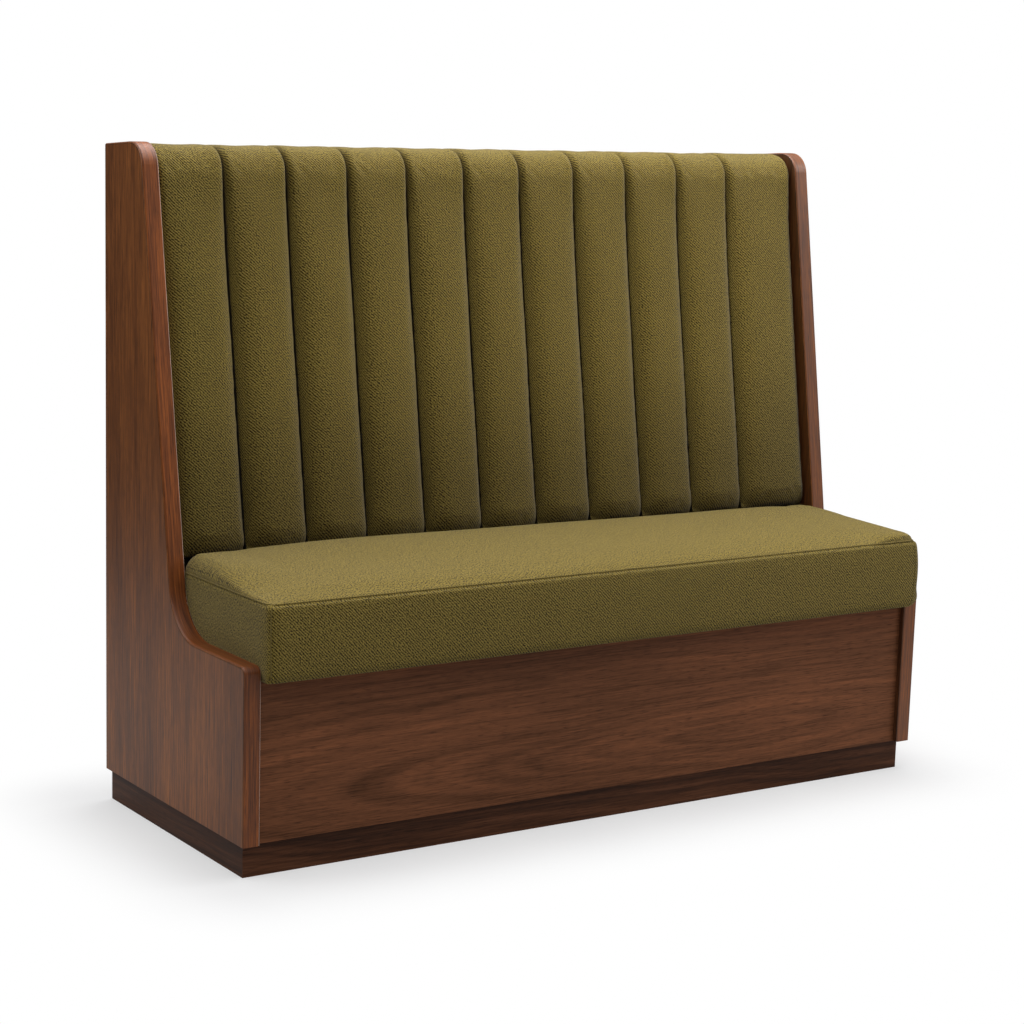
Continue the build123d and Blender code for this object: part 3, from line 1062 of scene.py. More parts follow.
        # The shader paints shade on the cloth where a crease is closed
        crease = (1.0 - smooth_step(side, 0.3 * MM, 5 * MM)) * smooth_step(depth, 30 * MM, 22 * MM)
        layer = piece.data.attributes.new("crease", "FLOAT", "POINT")
        layer.data.foreach_set("value", crease.astype(np.float32))

    def cloth_places(self, corners: np.ndarray, low: Vector, high: Vector) -> np.ndarray:
        """Unroll the cover: across it, down its flanks and along its route.

        Args:
            corners: The faces' corner places.
            low: The channel's lowest corner.
            high: Its highest corner.

        Returns:
            Cloth places in metres.
        """
        depth, run = self.depth_and_run(corners, low, high)
        middle = (low.x + high.x) / 2
        aside = corners[:, 0] - middle
        fall = np.clip(self.depth - depth, 0.0, None)
        flank = np.sign(aside) * fall * smooth_step(np.abs(aside), 0.6 * (high.x - middle), high.x - middle)
        return np.stack([aside + flank + low.x, run], axis=1)


@dataclass
class SeatPad:
    """The box seat cushion: its cover, sewn edges and stitches."""

    cloth: bpy.types.Material
    thread: bpy.types.Material
    side_height: float = 135 * MM
    drawn_in: float = 3 * MM
    corner_round: float = 10 * MM
    hem_height: float = 8 * MM
    left_swell: float = 0.0
    right_swell: float = 14 * MM
    crest_lift: float = 7 * MM
    crest_from: float = 250 * MM
    crest_full: float = -450 * MM
    end_height: float = 35 * MM
    end_round: float = 26 * MM
    end_reach: float = 120 * MM
    end_full: float = 60 * MM
    right_brow: float = 14 * MM
    right_rise: float = 9 * MM
    right_reach: float = 110 * MM
    right_full: float = 50 * MM
    panel_height: float = 310 * MM
    seam_pull: float = 1.6 * MM
    seam_width: float = 3.2 * MM
    hem_pull: float = 0.9 * MM
    hem_width: float = 2.2 * MM
    corner_pull: float = 0.5 * MM
    corner_width: float = 5.5 * MM
    pucker: float = 0.4 * MM
    pucker_rate: float = 26.0
    pucker_reach: float = 80 * MM
    right_puckers: float = 0.45
    folds: tuple[tuple[float, float, float], ...] = (
        (19 * MM, 4.5 * MM, 0.9 * MM), (33 * MM, 6 * MM, 0.6 * MM)
    )
    waver: float = 0.6 * MM
    seam_radius: float = 1.9 * MM
    hem_radius: float = 0.8 * MM
    corner_radius: float = 1.4 * MM
    walk_step: float = 6 * MM
    corner_steps: int = 16
    stitch_size: tuple[float, float, float] = (4.0 * MM, 0.9 * MM, 0.6 * MM)
    stitch_rounding: float = 0.28 * MM
    stitch_pitch: float = 6.5 * MM
    stitch_drop: float = 4.2 * MM
    stuffing: Stuffing = field(default_factory=lambda: Stuffing(cap=2.5 * MM, frames=8))

    def __post_init__(self) -> None:
        """Take the cushion's limits from the frame."""
        self.low, self.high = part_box("seat_cushion")
        self.seam_z = self.low.z + self.side_height
        self.hem_z = self.low.z + self.hem_height
        panel_low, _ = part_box("left_end_panel")
        self.panel_front = panel_low.y
        self.panel_top = panel_low.z + self.panel_height

    def build(self) -> list[bpy.types.Object]:
        """Make the cover and its sewn details.

        Returns:
            The cover, its two folds, its corner seams and its stitches.
        """
        cover = self.cover()
        tree = BVHTree.FromPolygons(
            [vertex.co for vertex in cover.data.vertices],
            [face.vertices[:] for face in cover.data.polygons],
        )
        pieces = [
            cover,
            self.ridge("seat_top_seam", tree, self.loop(self.seam_z), self.seam_radius),
            self.ridge("seat_hem_fold", tree, self.loop(self.hem_z), self.hem_radius),
            self.corner_ridges(tree),
            self.stitches(tree),
        ]
        for piece in pieces:
            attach(piece, "seat")
            LOG.info("built %s with %d faces", piece.name, len(piece.data.polygons))
        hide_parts("seat_cushion")
        return pieces

    def cover(self) -> bpy.types.Object:
        """Make the cushion's cover over its foam.

        Returns:
            The finished cover.
        """
        piece = covered_copy("seat_cushion", "seat_cover", self.stuffing.voxel)
        places = points_of(piece)
        sewn_line = np.minimum(np.abs(places[:, 2] - self.seam_z), np.abs(places[:, 2] - self.hem_z))
        on_side = self.side_nearness(places)
        at_corner = self.corner_nearness(places)
        held = np.maximum(
            (1.0 - smooth_step(sewn_line, 3 * MM, 9 * MM)) * on_side,
            1.0 - smooth_step(at_corner, 5 * MM, 12 * MM),
        )
        held = np.maximum(held, 1.0 - smooth_step(places[:, 2], self.low.z + 1 * MM, self.low.z + 6 * MM))
        swell(piece, held, self.stuffing)
        refine(piece)
        self.fill_out(piece)
        self.shape(piece)
        lay_cloth(piece, self.cloth_places)
        piece.data.materials.append(self.cloth)
        return piece

    def side_nearness(self, places: np.ndarray) -> np.ndarray:
        """Tell which points lie on the cushion's upright sides.

        Args:
            places: Points on the cover.

        Returns:
            Shares from 0 to 1.
        """
        to_side = np.minimum.reduce(
            [
                places[:, 0] - self.low.x,
                self.high.x - places[:, 0],
                places[:, 1] - self.low.y,
                self.high.y - places[:, 1],
            ]
        )
        return 1.0 - smooth_step(to_side, 6 * MM, 14 * MM)

    def corner_nearness(self, places: np.ndarray) -> np.ndarray:
        """Measure how far points lie from the nearest upright corner seam.

        Args:
            places: Points on the cover.

        Returns:
            Distances in metres.
        """
        aside = np.minimum(places[:, 0] - self.low.x, self.high.x - places[:, 0])
        ahead = np.minimum(places[:, 1] - self.low.y, self.high.y - places[:, 1])
        above = np.maximum(places[:, 2] - self.seam_z, 0.0)
        return np.sqrt(aside**2 + ahead**2 + above**2)

    def fill_out(self, piece: bpy.types.Object) -> None:
        """Raise the crest a little toward the left and stand both ends full.

        Args:
            piece: The blown-up cover.
        """
        x, y, z = points_of(piece).T
        rearward = smooth_step(y, self.low.y + 70 * MM, self.high.y - 60 * MM)
        above_seam = smooth_step(z, self.seam_z + 1 * MM, self.seam_z + 6 * MM)
        leftward = smooth_step(x, self.crest_from, self.crest_full)
        z = z + self.crest_lift * leftward * rearward * above_seam

        # The rear of both ends stands up round beside the end panels
        inside = np.clip((self.high.x - np.abs(x)) / self.end_round, 0.0, 1.0)
        behind = np.clip((self.high.y - y) / self.end_round, 0.0, 1.0)
        rounding = np.sqrt(1.0 - (1.0 - inside) ** 2) * np.sqrt(1.0 - (1.0 - behind) ** 2)
        end_height = np.where(x < 0, self.end_height, 0.7 * self.end_height)
        wanted = self.seam_z + end_height * rounding
        near_ends = smooth_step(self.high.x - np.abs(x), self.end_reach, self.end_full)
        z = z + np.maximum(wanted - z, 0.0) * near_ends * rearward * above_seam

        # The right-hand end is the fuller one and stands round all along its seam
        ahead = np.clip((y - self.low.y) / self.end_round, 0.0, 1.0)
        brow = np.sqrt(1.0 - (1.0 - inside) ** 2) * np.sqrt(1.0 - (1.0 - ahead) ** 2)
        at_right = smooth_step(x, self.high.x - self.right_reach, self.high.x - self.right_full)
        back_share = (y - self.low.y) / (self.high.y - self.low.y)
        rise = self.right_brow + self.right_rise * np.sin(0.5 * math.pi * back_share)
        wanted = self.seam_z + rise * brow
        over_seam = smooth_step(z, self.seam_z - 1.5 * MM, self.seam_z + 0.5 * MM)
        z = z + np.maximum(wanted - z, 0.0) * at_right * over_seam
        set_points(piece, np.stack([x, y, z], axis=1))

        # Both ends are then eased, so nothing that was raised shows a step
        worked = near_ends * np.maximum(rearward, at_right)
        eased = group_points(piece, "eased", worked * smooth_step(z, self.seam_z - 4 * MM, self.seam_z))
        apply_modifier(piece, "SMOOTH", factor=0.5, iterations=8, vertex_group=eased)
        piece.vertex_groups.clear()

    def shape(self, piece: bpy.types.Object) -> None:
        """Swell the free right end, press the seams in and draw the corner puckers.

        Args:
            piece: The filled-out cover.
        """
        places = points_of(piece)
        normals = normals_of(piece)
        x, y, z = places.T

        # An end bulges where no end panel holds it: above its low front and ahead of it
        above_panel = smooth_step(z, self.panel_top, self.panel_top + 22 * MM)
        ahead_of_panel = smooth_step(y, self.panel_front - 2 * MM, self.panel_front - 12 * MM)
        free = np.maximum(above_panel, ahead_of_panel)
        free = free * smooth_step(y, 10 * MM, -60 * MM)
        between = np.clip((z - self.low.z) / (self.seam_z - self.low.z), 0.0, 1.0)
        belly = np.sin(math.pi * between) ** 0.3 + 0.5 * np.exp(-(((between - 0.12) / 0.12) ** 2))
        near_end = smooth_step(np.abs(x), self.high.x - 30 * MM, self.high.x - 4 * MM)
        end_swell = np.where(x < 0, self.left_swell, self.right_swell)
        x = x + np.sign(x) * end_swell * free * belly * near_end

        # The seams pull in the cloth beside them
        on_side = self.side_nearness(places)
        seam_pull = np.exp(-(((z - self.seam_z + 2 * MM) / self.seam_width) ** 2))
        hem_pull = np.exp(-(((z - self.hem_z) / self.hem_width) ** 2))
        corner = self.corner_nearness(places)
        below_seam = smooth_step(z, self.seam_z + 4 * MM, self.seam_z - 4 * MM)
        corner_pull = np.exp(-((corner / self.corner_width) ** 2)) * below_seam
        pull = self.seam_pull * seam_pull * on_side
        pull = pull + self.hem_pull * hem_pull * on_side + self.corner_pull * corner_pull

        # Puckers fan out over the top from the two front corners, along the end seams
        from_end = self.high.x - np.abs(x)
        from_front = y - self.low.y
        out = np.hypot(from_end, from_front)
        fan = np.arctan2(from_end, np.maximum(from_front, 1e-6))
        top_side = smooth_step(z, self.seam_z + 1 * MM, self.seam_z + 6 * MM)
        fade = np.exp(-((out / self.pucker_reach) ** 2)) * smooth_step(out, 8 * MM, 22 * MM)
        strength = np.where(x < 0, 1.0, self.right_puckers)
        waves = np.cos(fan * self.pucker_rate + 1.2 * np.sin(out / (22 * MM)))
        puckers = self.pucker * waves * fade * top_side
        # Long folds run back from the corner beside the end seam
        run_back = smooth_step(from_front, 8 * MM, 34 * MM) * smooth_step(from_front, 190 * MM, 90 * MM)
        for offset, width, rise in self.folds:
            bent = offset * smooth_step(from_front, 0.0, 60 * MM)
            line = np.exp(-(((from_end - 4 * MM - bent) / width) ** 2))
            puckers = puckers + rise * line * run_back * top_side
        # The top wavers faintly, as sewn cloth does over foam
        soft = self.waver * np.sin(x / (83 * MM) + 0.6) * np.sin(y / (47 * MM) + 1.1)
        soft = soft * smooth_step(z, self.seam_z + 4 * MM, self.seam_z + 20 * MM)
        places = np.stack([x, y, z], axis=1)
        shift = puckers * strength + soft - pull
        set_points(piece, places + normals * shift[:, None])

    def cloth_places(self, corners: np.ndarray, normals: np.ndarray) -> np.ndarray:
        """Lay each panel's cloth flat: the top, the boxing strip's four sides and the base.

        Args:
            corners: The faces' corner places.
            normals: Their faces' normals.

        Returns:
            Cloth places in metres.
        """
        x, y, z = corners.T
        flat = np.stack([x, y], axis=1)
        front = np.stack([x, z + 0.5], axis=1)
        end = np.stack([np.sign(x) * y + 2.0, z + 0.5], axis=1)
        is_top = (normals[:, 2] > 0.62) | (z > self.seam_z + 3 * MM)
        is_base = normals[:, 2] < -0.7
        is_end = np.abs(normals[:, 0]) > np.abs(normals[:, 1])
        places = np.where(is_end[:, None], end, front)
        return np.where((is_top | is_base)[:, None], flat, places)

    def loop(self, height: float) -> list[tuple[Vector, Vector]]:
        """Walk round the cushion at one height.

        Args:
            height: The walk's height.

        Returns:
            Places just outside the cover, each with the way out from the cushion.
        """
        inset = self.corner_round
        left, right = self.low.x + inset, self.high.x - inset
        front, rear = self.low.y + inset, self.high.y - inset
        plan = [(left, front), (right, front), (right, rear), (left, rear)]
        corners = [Vector((*place, height)) for place in plan]
        ways = [Vector(way) for way in ((0, -1, 0), (1, 0, 0), (0, 1, 0), (-1, 0, 0))]
        walk = []
        for side, (start, out) in enumerate(zip(corners, ways)):
            stop, turn_to = corners[(side + 1) % 4], ways[(side + 1) % 4]
            count = max(2, round((stop - start).length / self.walk_step))
            walk += [(start.lerp(stop, index / count), out) for index in range(count + 1)]
            walk += [(stop.copy(), out.slerp(turn_to, index / 4)) for index in range(1, 4)]
        return walk

    def on_cover(self, tree: BVHTree, place: Vector, out: Vector) -> tuple[Vector, Vector]:
        """Find where a ray from outside meets the cover.

        Args:
            tree: The cover's search tree.
            place: A place inside the cushion.
            out: The way out.

        Returns:
            The place on the cover and the cover's normal there.
        """
        hit, normal, _, _ = tree.ray_cast(place + out * 60 * MM, -out, 80 * MM)
        if hit is None:
            return place + out * self.corner_round, out
        return hit, normal

    def ridge(
        self,
        name: str,
        tree: BVHTree,
        walk: list[tuple[Vector, Vector]],
        radius: float,
    ) -> bpy.types.Object:
        """Make a sewn fold of cloth that runs round the cover as a fine ridge.

        Args:
            name: The piece's name.
            tree: The cover's search tree.
            walk: Places and ways out along the fold.
            radius: Half the fold's width.

        Returns:
            The finished fold.
        """
        path = []
        for place, out in walk:
            hit, normal = self.on_cover(tree, place, out)
            path.append(hit - normal * 0.25 * radius)
        return self.tube(name, [path], radius, closed=True)

    def tube(self, name: str, paths: list[list[Vector]], radius: float, closed: bool) -> bpy.types.Object:
        """Sweep a small round section along paths and turn it to a mesh.

        Args:
            name: The piece's name.
            paths: The points of each path.
            radius: The section's radius.
            closed: Whether each path closes on itself.

        Returns:
            The mesh.
        """
        curve = bpy.data.curves.new(name, "CURVE")
        curve.dimensions = "3D"
        curve.bevel_depth = radius
        curve.bevel_resolution = 2
        curve.use_fill_caps = not closed
        for path in paths:
            spline = curve.splines.new("POLY")
            spline.points.add(len(path) - 1)
            for point, place in zip(spline.points, path):
                point.co = (*place, 1.0)
            spline.use_cyclic_u = closed
        piece = add_piece(name, curve)
        select_only(piece)
        bpy.ops.object.convert(target="MESH")
        bpy.ops.object.shade_smooth()
        lay_cloth(piece, self.cloth_places)
        piece.data.materials.append(self.cloth)
        return piece

    def corner_ridges(self, tree: BVHTree) -> bpy.types.Object:
        """Make the four upright seams at the cushion's corners.

        Args:
            tree: The cover's search tree.

        Returns:
            The seams as one piece.
        """
        paths = []
        for side_x in (-1, 1):
            for side_y in (-1, 1):
                out = Vector((side_x, side_y, 0)).normalized()
                across = side_x * (self.high.x - self.corner_round)
                ahead = self.low.y + self.corner_round if side_y < 0 else self.high.y - self.corner_round
                path = []
                for index in range(self.corner_steps + 1):
                    height = self.hem_z + (self.seam_z - self.hem_z) * index / self.corner_steps
                    hit, normal = self.on_cover(tree, Vector((across, ahead, height)), out)
                    path.append(hit - normal * 0.3 * MM)
                paths.append(path)
        return self.tube("seat_corner_seams", paths, self.corner_radius, closed=False)

    def stitches(self, tree: BVHTree) -> bpy.types.Object:
        """Make the stitches under the top seam: one is modelled, and copied all the way round.

        Args:
            tree: The cover's search tree.

        Returns:
            The stitches as one piece.
        """
        bpy.ops.object.select_all(action="DESELECT")
        bpy.ops.mesh.primitive_cube_add(size=1.0)
        stitch = bpy.context.active_object
        stitch.scale = self.stitch_size
        bpy.ops.object.transform_apply(location=True, rotation=True, scale=True)
        apply_modifier(stitch, "BEVEL", width=self.stitch_rounding, segments=1)
        shape = points_of(stitch)
        faces = [list(face.vertices) for face in stitch.data.polygons]
        vertices, polygons = [], []
        walk = self.loop(self.seam_z - self.stitch_drop)
        travelled, next_stitch = 0.0, 0.0
        for (place, out), (ahead, _) in zip(walk, walk[1:]):
            run = (ahead - place).length
            while run > 0 and next_stitch <= travelled + run:
                spot = place.lerp(ahead, (next_stitch - travelled) / run)
                hit, normal = self.on_cover(tree, spot, out)
                forward = (ahead - place).normalized()
                upward = normal.cross(forward).normalized()
                turn = Matrix((forward, upward, normal)).transposed()
                base = len(vertices)
                vertices += [hit + turn @ Vector(corner) for corner in shape]
                polygons += [[base + index for index in face] for face in faces]
                next_stitch += self.stitch_pitch
            travelled += run
        bpy.data.objects.remove(stitch)
        piece = add_mesh("seat_stitches", vertices, polygons)
        piece.data.materials.append(self.thread)
        return piece


# Joinery


@dataclass
class Joinery:
    """The boards, blocks and fixings of the frame, whose shapes come from the frame itself."""

    steel: bpy.types.Material
    seat_ribs: int = 3
    back_ribs: int = 5

    def finishes(self) -> dict[str, bpy.types.Material]:
        """Match each node of the frame with its finish.

        Returns:
            Materials by node name.
        """
        left_end = VeneerFinish(
            "satin_walnut_left_end",
            Grain.UPRIGHT,
            dark="#47250d",
            middle="#774520",
            light="#a6642d",
            pith_across=0.35,
            pith_behind=0.3,
            climb=0.02,
            ring_pitch=13 * MM,
            lipped=True,
            gloss=0.4,
            figure=0.2,
            # Painted light and shade: a highlight on the inner edge, and a lipping darker below seat level
            # than above
            glint_share=0.85,
            lipping_light_low=0.8,
            lipping_light_high=1.18,
            seed=1.7,
        )
        # The right end has a yellower lipping and a glossier lacquer; its lipping is painted lighter below
        # seat level than above, and its inner side takes painted shade
        right_end = replace(
            left_end,
            name="satin_walnut_right_end",
            pith_across=-0.3,
            gloss=0.6,
            lipping="#efdc98",
            glint_share=0.0,
            lipping_light_low=1.06,
            lipping_light_high=0.8,
            inner_shade=0.5,
            seed=5.2,
        )
        front = VeneerFinish(
            "satin_walnut_front",
            Grain.LENGTHWISE,
            dark="#472914",
            middle="#6b422a",
            light="#8d5738",
            pith_across=0.13,
            pith_behind=0.012,
            pith_along=0.5,
            climb=0.085,
            ring_pitch=10 * MM,
            figure=0.42,
            seed=2.9,
        )
        rear = VeneerFinish("satin_walnut_rear", Grain.LENGTHWISE, pith_across=0.6, seed=8.3)
        plinth_long = VeneerFinish(
            "satin_walnut_plinth",
            Grain.LENGTHWISE,
            dark="#2a170e",
            middle="#4f2f1d",
            light="#6f4630",
            pith_across=-0.2,
            pith_behind=0.2,
            seed=4.4,
        )
        # Its ends take darker copies of the same colours: painted shade, as less light reaches them
        plinth_side_shaded = replace(
            plinth_long,
            name="satin_walnut_plinth_side_shaded",
            grain=Grain.FRONT_TO_BACK,
            dark="#26140a",
            middle="#482a19",
            light="#66402a",
            seed=6.1,
        )
        rails = ["seat_front_rail", "seat_rear_rail", "wall_rail", "top_rail"]
        blocks = ["plinth_corner_blocks", "rail_corner_blocks", "seat_locating_blocks"]
        seat_ribs = [f"seat_rib_{number}" for number in range(1, self.seat_ribs + 1)]
        crosspieces = [f"plinth_crosspiece_{number}" for number in range(1, self.seat_ribs + 1)]
        back_ribs = [f"back_rib_{number}" for number in range(1, self.back_ribs + 1)]
        matched = [
            (left_end.material(), ["left_end_panel"]),
            (right_end.material(), ["right_end_panel"]),
            (front.material(), ["front_panel"]),
            (rear.material(), ["rear_panel"]),
            (plinth_long.material(), ["plinth_front", "plinth_rear"]),
            (plinth_side_shaded.material(), ["plinth_left", "plinth_right"]),
            (PineFinish("planed_pine_rails", Grain.LENGTHWISE).material(), rails + blocks),
            (
                PineFinish("planed_pine_cleats", Grain.FRONT_TO_BACK).material(),
                ["seat_cleat_left", "seat_cleat_right"],
            ),
            (PlywoodFinish("birch_plywood_ribs", "X").material(), crosspieces + seat_ribs + back_ribs),
            (ShadeLiningFinish().material(), ["back_board"]),
            (PlywoodFinish("birch_plywood_seat", "Z").material(), ["seat_board"]),
            (self.steel, ["rib_bolts", "rib_nuts"]),
        ]
        return {node: material for material, nodes in matched for node in nodes}

    def build(self) -> None:
        """Dress every node that keeps its own shape."""
        for node, material in self.finishes().items():
            dress(node, material)


@dataclass
class WoodScrews:
    """Small countersunk wood screws that hold the boards to the frame behind them."""

    ribs: int = 5
    screws_a_rib: int = 5
    panel_margin: float = 72 * MM
    screws_a_cleat: int = 3
    cleat_margin: float = 30 * MM
    head_radius: float = 4 * MM
    proud: float = 0.6 * MM
    recess_length: float = 4.4 * MM
    recess_width: float = 1.1 * MM
    recess_depth: float = 0.5 * MM

    def head(self) -> bpy.types.Object:
        """Model one head: a low disc with a bevelled rim and a cross recess, facing +Z.

        Returns:
            The head.
        """
        bpy.ops.object.select_all(action="DESELECT")
        bpy.ops.mesh.primitive_cylinder_add(vertices=20, radius=self.head_radius, depth=2 * self.proud)
        head = bpy.context.active_object
        apply_modifier(head, "BEVEL", width=0.5 * self.proud, segments=1)
        for turn in (0.0, math.pi / 2):
            bpy.ops.object.select_all(action="DESELECT")
            bpy.ops.mesh.primitive_cube_add(size=1.0, location=(0, 0, self.proud), rotation=(0, 0, turn))
            cutter = bpy.context.active_object
            cutter.scale = (self.recess_length, self.recess_width, 2 * self.recess_depth)
            apply_modifier(head, "BOOLEAN", operation="DIFFERENCE", object=cutter)
            bpy.data.objects.remove(cutter)
        return head

    def build(self, steel: bpy.types.Material) -> list[bpy.types.Object]:
        """Drive the screws of the rear panel, the cleats and the front rail.

        Args:
            steel: The screws' plating.

        Returns:
            One piece for each row of screws.
        """
        head = self.head()
        panel_low, panel_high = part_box("rear_panel")
        ribs = [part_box(f"back_rib_{number}") for number in range(1, self.ribs + 1)]
        lowest, highest = panel_low.z + self.panel_margin, panel_high.z - self.panel_margin
        heights = np.linspace(lowest, highest, self.screws_a_rib)
        rear = [((low.x + high.x) / 2, panel_high.y, height) for low, high in ribs for height in heights]
        rail_low, rail_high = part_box("seat_front_rail")
        between = [(rib[0].x + after[0].x) / 2 for rib, after in zip(ribs, ribs[1:])]
        front = [(x, rail_high.y, (rail_low.z + rail_high.z) / 2) for x in between]
        rows = {
            "rear_panel_screws": (rear, Vector((0, 1, 0))),
            "front_rail_screws": (front, Vector((0, 1, 0))),
        }
        for side, node in ((-1, "seat_cleat_left"), (1, "seat_cleat_right")):
            low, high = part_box(node)
            inner = high.x if side < 0 else low.x
            nearest, furthest = low.y + self.cleat_margin, high.y - self.cleat_margin
            spread = np.linspace(nearest, furthest, self.screws_a_cleat)
            places = [(inner, y, (low.z + high.z) / 2) for y in spread]
            rows[f"{node}_screws"] = (places, Vector((-side, 0, 0)))
        pieces = [self.row(head, name, *row, steel) for name, row in rows.items()]
        bpy.data.objects.remove(head)
        return pieces

    def row(
        self,
        head: bpy.types.Object,
        name: str,
        places: list[tuple[float, float, float]],
        out: Vector,
        steel: bpy.types.Material,
    ) -> bpy.types.Object:
        """Set copies of the head at a row of places.

        Args:
            head: The head to copy, facing +Z.
            name: The row's name.
            places: Where the heads' middles lie on the board.
            out: The way out of the board.
            steel: The plating.

        Returns:
            The row as one piece.
        """
        shape = points_of(head)
        faces = [list(face.vertices) for face in head.data.polygons]
        turn = np.array(out.to_track_quat("Z", "Y").to_matrix())
        vertices = [shape @ turn.T + np.array(place) for place in places]
        polygons = [
            [number * len(shape) + index for index in face]
            for number in range(len(places))
            for face in faces
        ]
        piece = add_mesh(name, np.concatenate(vertices).tolist(), polygons)
        piece.data.materials.append(steel)
        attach(piece, "frame")
        LOG.info("built %s with %d heads", name, len(places))
        return piece


# Studio


@dataclass(frozen=True)
class Lamp:
    """One soft box: where it hangs, what it faces, its width and height, and its power."""

    name: str
    place: tuple[float, float, float]
    aim: tuple[float, float, float]
    size: tuple[float, float]
    watts: float

    def build(self) -> None:
        """Hang the lamp."""
        light = bpy.data.lights.new(self.name, "AREA")
        light.shape = "RECTANGLE"
        light.size, light.size_y = self.size
        light.energy = self.watts
        lamp = add_piece(self.name, light)
        lamp.location = self.place
        lamp.rotation_euler = (Vector(self.aim) - Vector(self.place)).to_track_quat("-Z", "Y").to_euler()


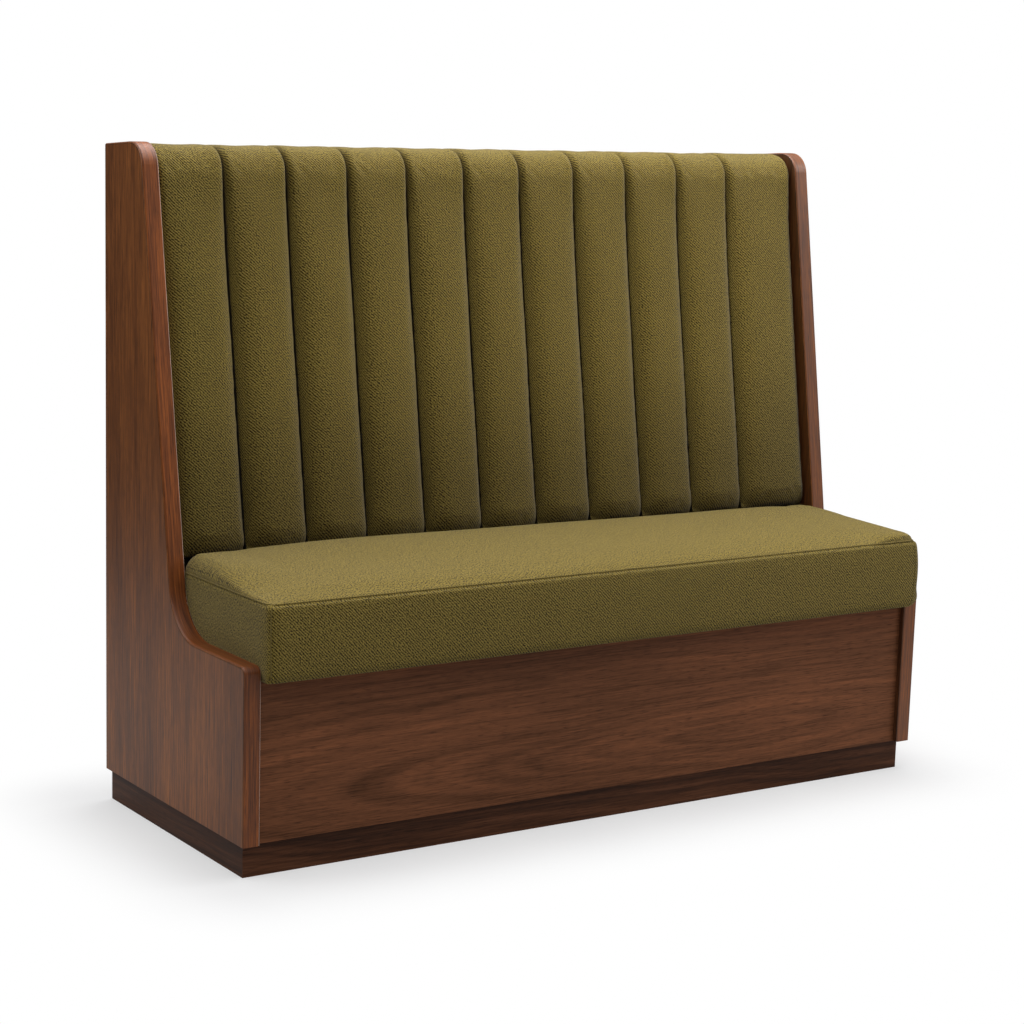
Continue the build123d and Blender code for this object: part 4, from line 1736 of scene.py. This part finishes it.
@dataclass
class Studio:
    """A pale floor, soft boxes and the camera at the photograph's place."""

    camera_place: tuple[float, float, float] = (-2.506, -3.6763, 1.2922)
    heading: float = -0.589
    tilt: float = -0.1799
    roll: float = 0.0291
    focal_pixels: float = 2373.2
    image_pixels: float = 1024.0
    drop_pixels: float = 27.7
    sensor_mm: float = 36.0
    furthest: float = 60.0
    horizon: float = 0.04
    zenith: float = 2.0
    floor_size: float = 4.4
    paint_dark: str = "#9c9c9d"
    paint_light: str = "#a1a1a1"
    fade_reach: float = 0.27
    floor_lift: float = 0.45
    glossy_glow: float = 0.2
    lamps: tuple[Lamp, ...] = (
        Lamp("overhead_box", (0.3, 0.05, 2.6), (0.1, -0.05, 0.4), (2.2, 1.1), 40.0),
        Lamp("right_box", (2.4, -2.9, 1.5), (0.1, 0.0, 1.0), (0.9, 1.8), 15.0),
        Lamp("side_box", (2.6, -1.3, 2.5), (0.0, 0.1, 1.1), (1.1, 1.1), 26.0),
        Lamp("left_box", (-2.6, 0.7, 2.0), (-0.75, 0.0, 0.8), (1.2, 1.2), 13.3),
    )

    def build(self) -> None:
        """Set up the floor, the air, the lamps and the camera."""
        self.floor()
        self.air()
        for lamp in self.lamps:
            lamp.build()
        self.camera()
        bpy.context.scene.view_settings.view_transform = "Standard"

    def floor(self) -> None:
        """Lay the floor: pale near the bench, where it takes the shadow, and white beyond."""
        bpy.ops.object.select_all(action="DESELECT")
        bpy.ops.mesh.primitive_plane_add(size=self.floor_size)
        floor = bpy.context.active_object
        floor.name = "studio_floor"
        material, node = new_material("matt_white_studio_floor")
        coordinates = node("TexCoord")
        rays = node("LightPath")
        # How far a place lies outside the bench's footprint
        plain = node("VectorMath", {0: coordinates.outputs["Object"]}, operation="ABSOLUTE")
        outside = node(
            "VectorMath", {0: plain, 1: (CAD_BOX[1][0], CAD_BOX[1][1], 0.0)}, operation="SUBTRACT"
        )
        outside = node("VectorMath", {0: outside, 1: (0.0, 0.0, 0.0)}, operation="MAXIMUM")
        away = node("VectorMath", {0: outside}, operation="LENGTH")
        beyond = node(
            "MapRange", {"Value": away, "From Max": self.fade_reach}, interpolation_type="SMOOTHSTEP"
        )
        # Faint mottling of a painted floor, too pale to read as a pattern
        mottle = node("TexNoise", {"Vector": coordinates.outputs["Object"], "Scale": 3.0, "Detail": 2.0})
        paint = node("ValToRGB", {"Fac": mottle}, stops=[(0.3, self.paint_dark), (0.7, self.paint_light)])
        matt = node("BsdfDiffuse", {"Color": paint})
        # The camera sees the paint lifted; a painted reflection: the lacquer's sheen sees the floor glow a
        # little too
        sheen = node("Math", {0: rays.outputs["Is Glossy Ray"], 1: self.glossy_glow}, operation="MULTIPLY")
        lift = node(
            "Math",
            {0: rays.outputs["Is Camera Ray"], 1: self.floor_lift, 2: sheen},
            operation="MULTIPLY_ADD",
        )
        glow = node("Emission", {"Strength": lift})
        near = node("AddShader", {0: matt, 1: glow})
        white = node("Emission", {"Strength": 1.0})
        fade = node("Math", {0: rays.outputs["Is Camera Ray"], 1: beyond}, operation="MULTIPLY")
        surface = node("MixShader", {0: fade, 1: near, 2: white})
        node("OutputMaterial", {"Surface": surface})
        floor.data.materials.append(material)

    def air(self) -> None:
        """Fill the studio with soft light, plain white where the camera sees it."""
        world = bpy.data.worlds.new("studio_air")
        bpy.context.scene.world = world
        world.use_nodes = True
        world.node_tree.nodes.clear()
        node = partial(add_node, world.node_tree)
        rays = node("LightPath")
        seen = node(
            "Math",
            {0: rays.outputs["Is Camera Ray"], 1: rays.outputs["Is Transmission Ray"]},
            operation="MAXIMUM",
        )
        # The studio is dark at eye level and bright overhead, so upright faces keep their colour
        way = node("TexCoord")
        split = node("SeparateXYZ", {0: way.outputs["Generated"]})
        overhead = node(
            "MapRange",
            {
                "Value": split.outputs["Z"],
                "From Min": 0.4,
                "From Max": 1.0,
                "To Min": self.horizon,
                "To Max": self.zenith,
            },
        )
        strength = node("Mix", {0: seen, 2: overhead, 3: 1.0}, data_type="FLOAT")
        sky = node("Background", {"Color": (1.0, 1.0, 1.0, 1.0), "Strength": strength})
        node("OutputWorld", {"Surface": sky})

    def camera(self) -> None:
        """Place the camera where the photograph was taken from."""
        forward = Vector(
            (
                -math.sin(self.heading) * math.cos(self.tilt),
                math.cos(self.heading) * math.cos(self.tilt),
                math.sin(self.tilt),
            )
        )
        level = Vector((math.cos(self.heading), math.sin(self.heading), 0.0))
        upright = level.cross(forward)
        right = level * math.cos(self.roll) + upright * math.sin(self.roll)
        up = upright * math.cos(self.roll) - level * math.sin(self.roll)
        lens = bpy.data.cameras.new("photograph_view")
        lens.sensor_width = self.sensor_mm
        lens.lens = self.focal_pixels / self.image_pixels * self.sensor_mm
        lens.shift_y = self.drop_pixels / self.image_pixels
        lens.clip_end = self.furthest
        camera = add_piece("photograph_view", lens)
        turned = Matrix((right, up, -forward)).transposed().to_4x4()
        camera.matrix_world = Matrix.Translation(self.camera_place) @ turned
        bpy.context.scene.camera = camera


def main() -> None:
    """Build the bench's looks in order: joinery, back, seat, then the studio."""
    logging.basicConfig(level=logging.INFO, format="%(name)s: %(message)s")
    steel = ZincFinish().material()
    Joinery(steel).build()
    WoodScrews().build(steel)
    back_cloth = TwillFinish("woven_olive_twill_back", contrast=1.32, foot_shade=0.64).material()
    seat_cloth = TwillFinish("woven_olive_twill_seat").material()
    thread = ThreadFinish().material()
    BackPadding(back_cloth).build()
    SeatPad(seat_cloth, thread).build()
    Studio().build()


if __name__ == "__main__":
    main()
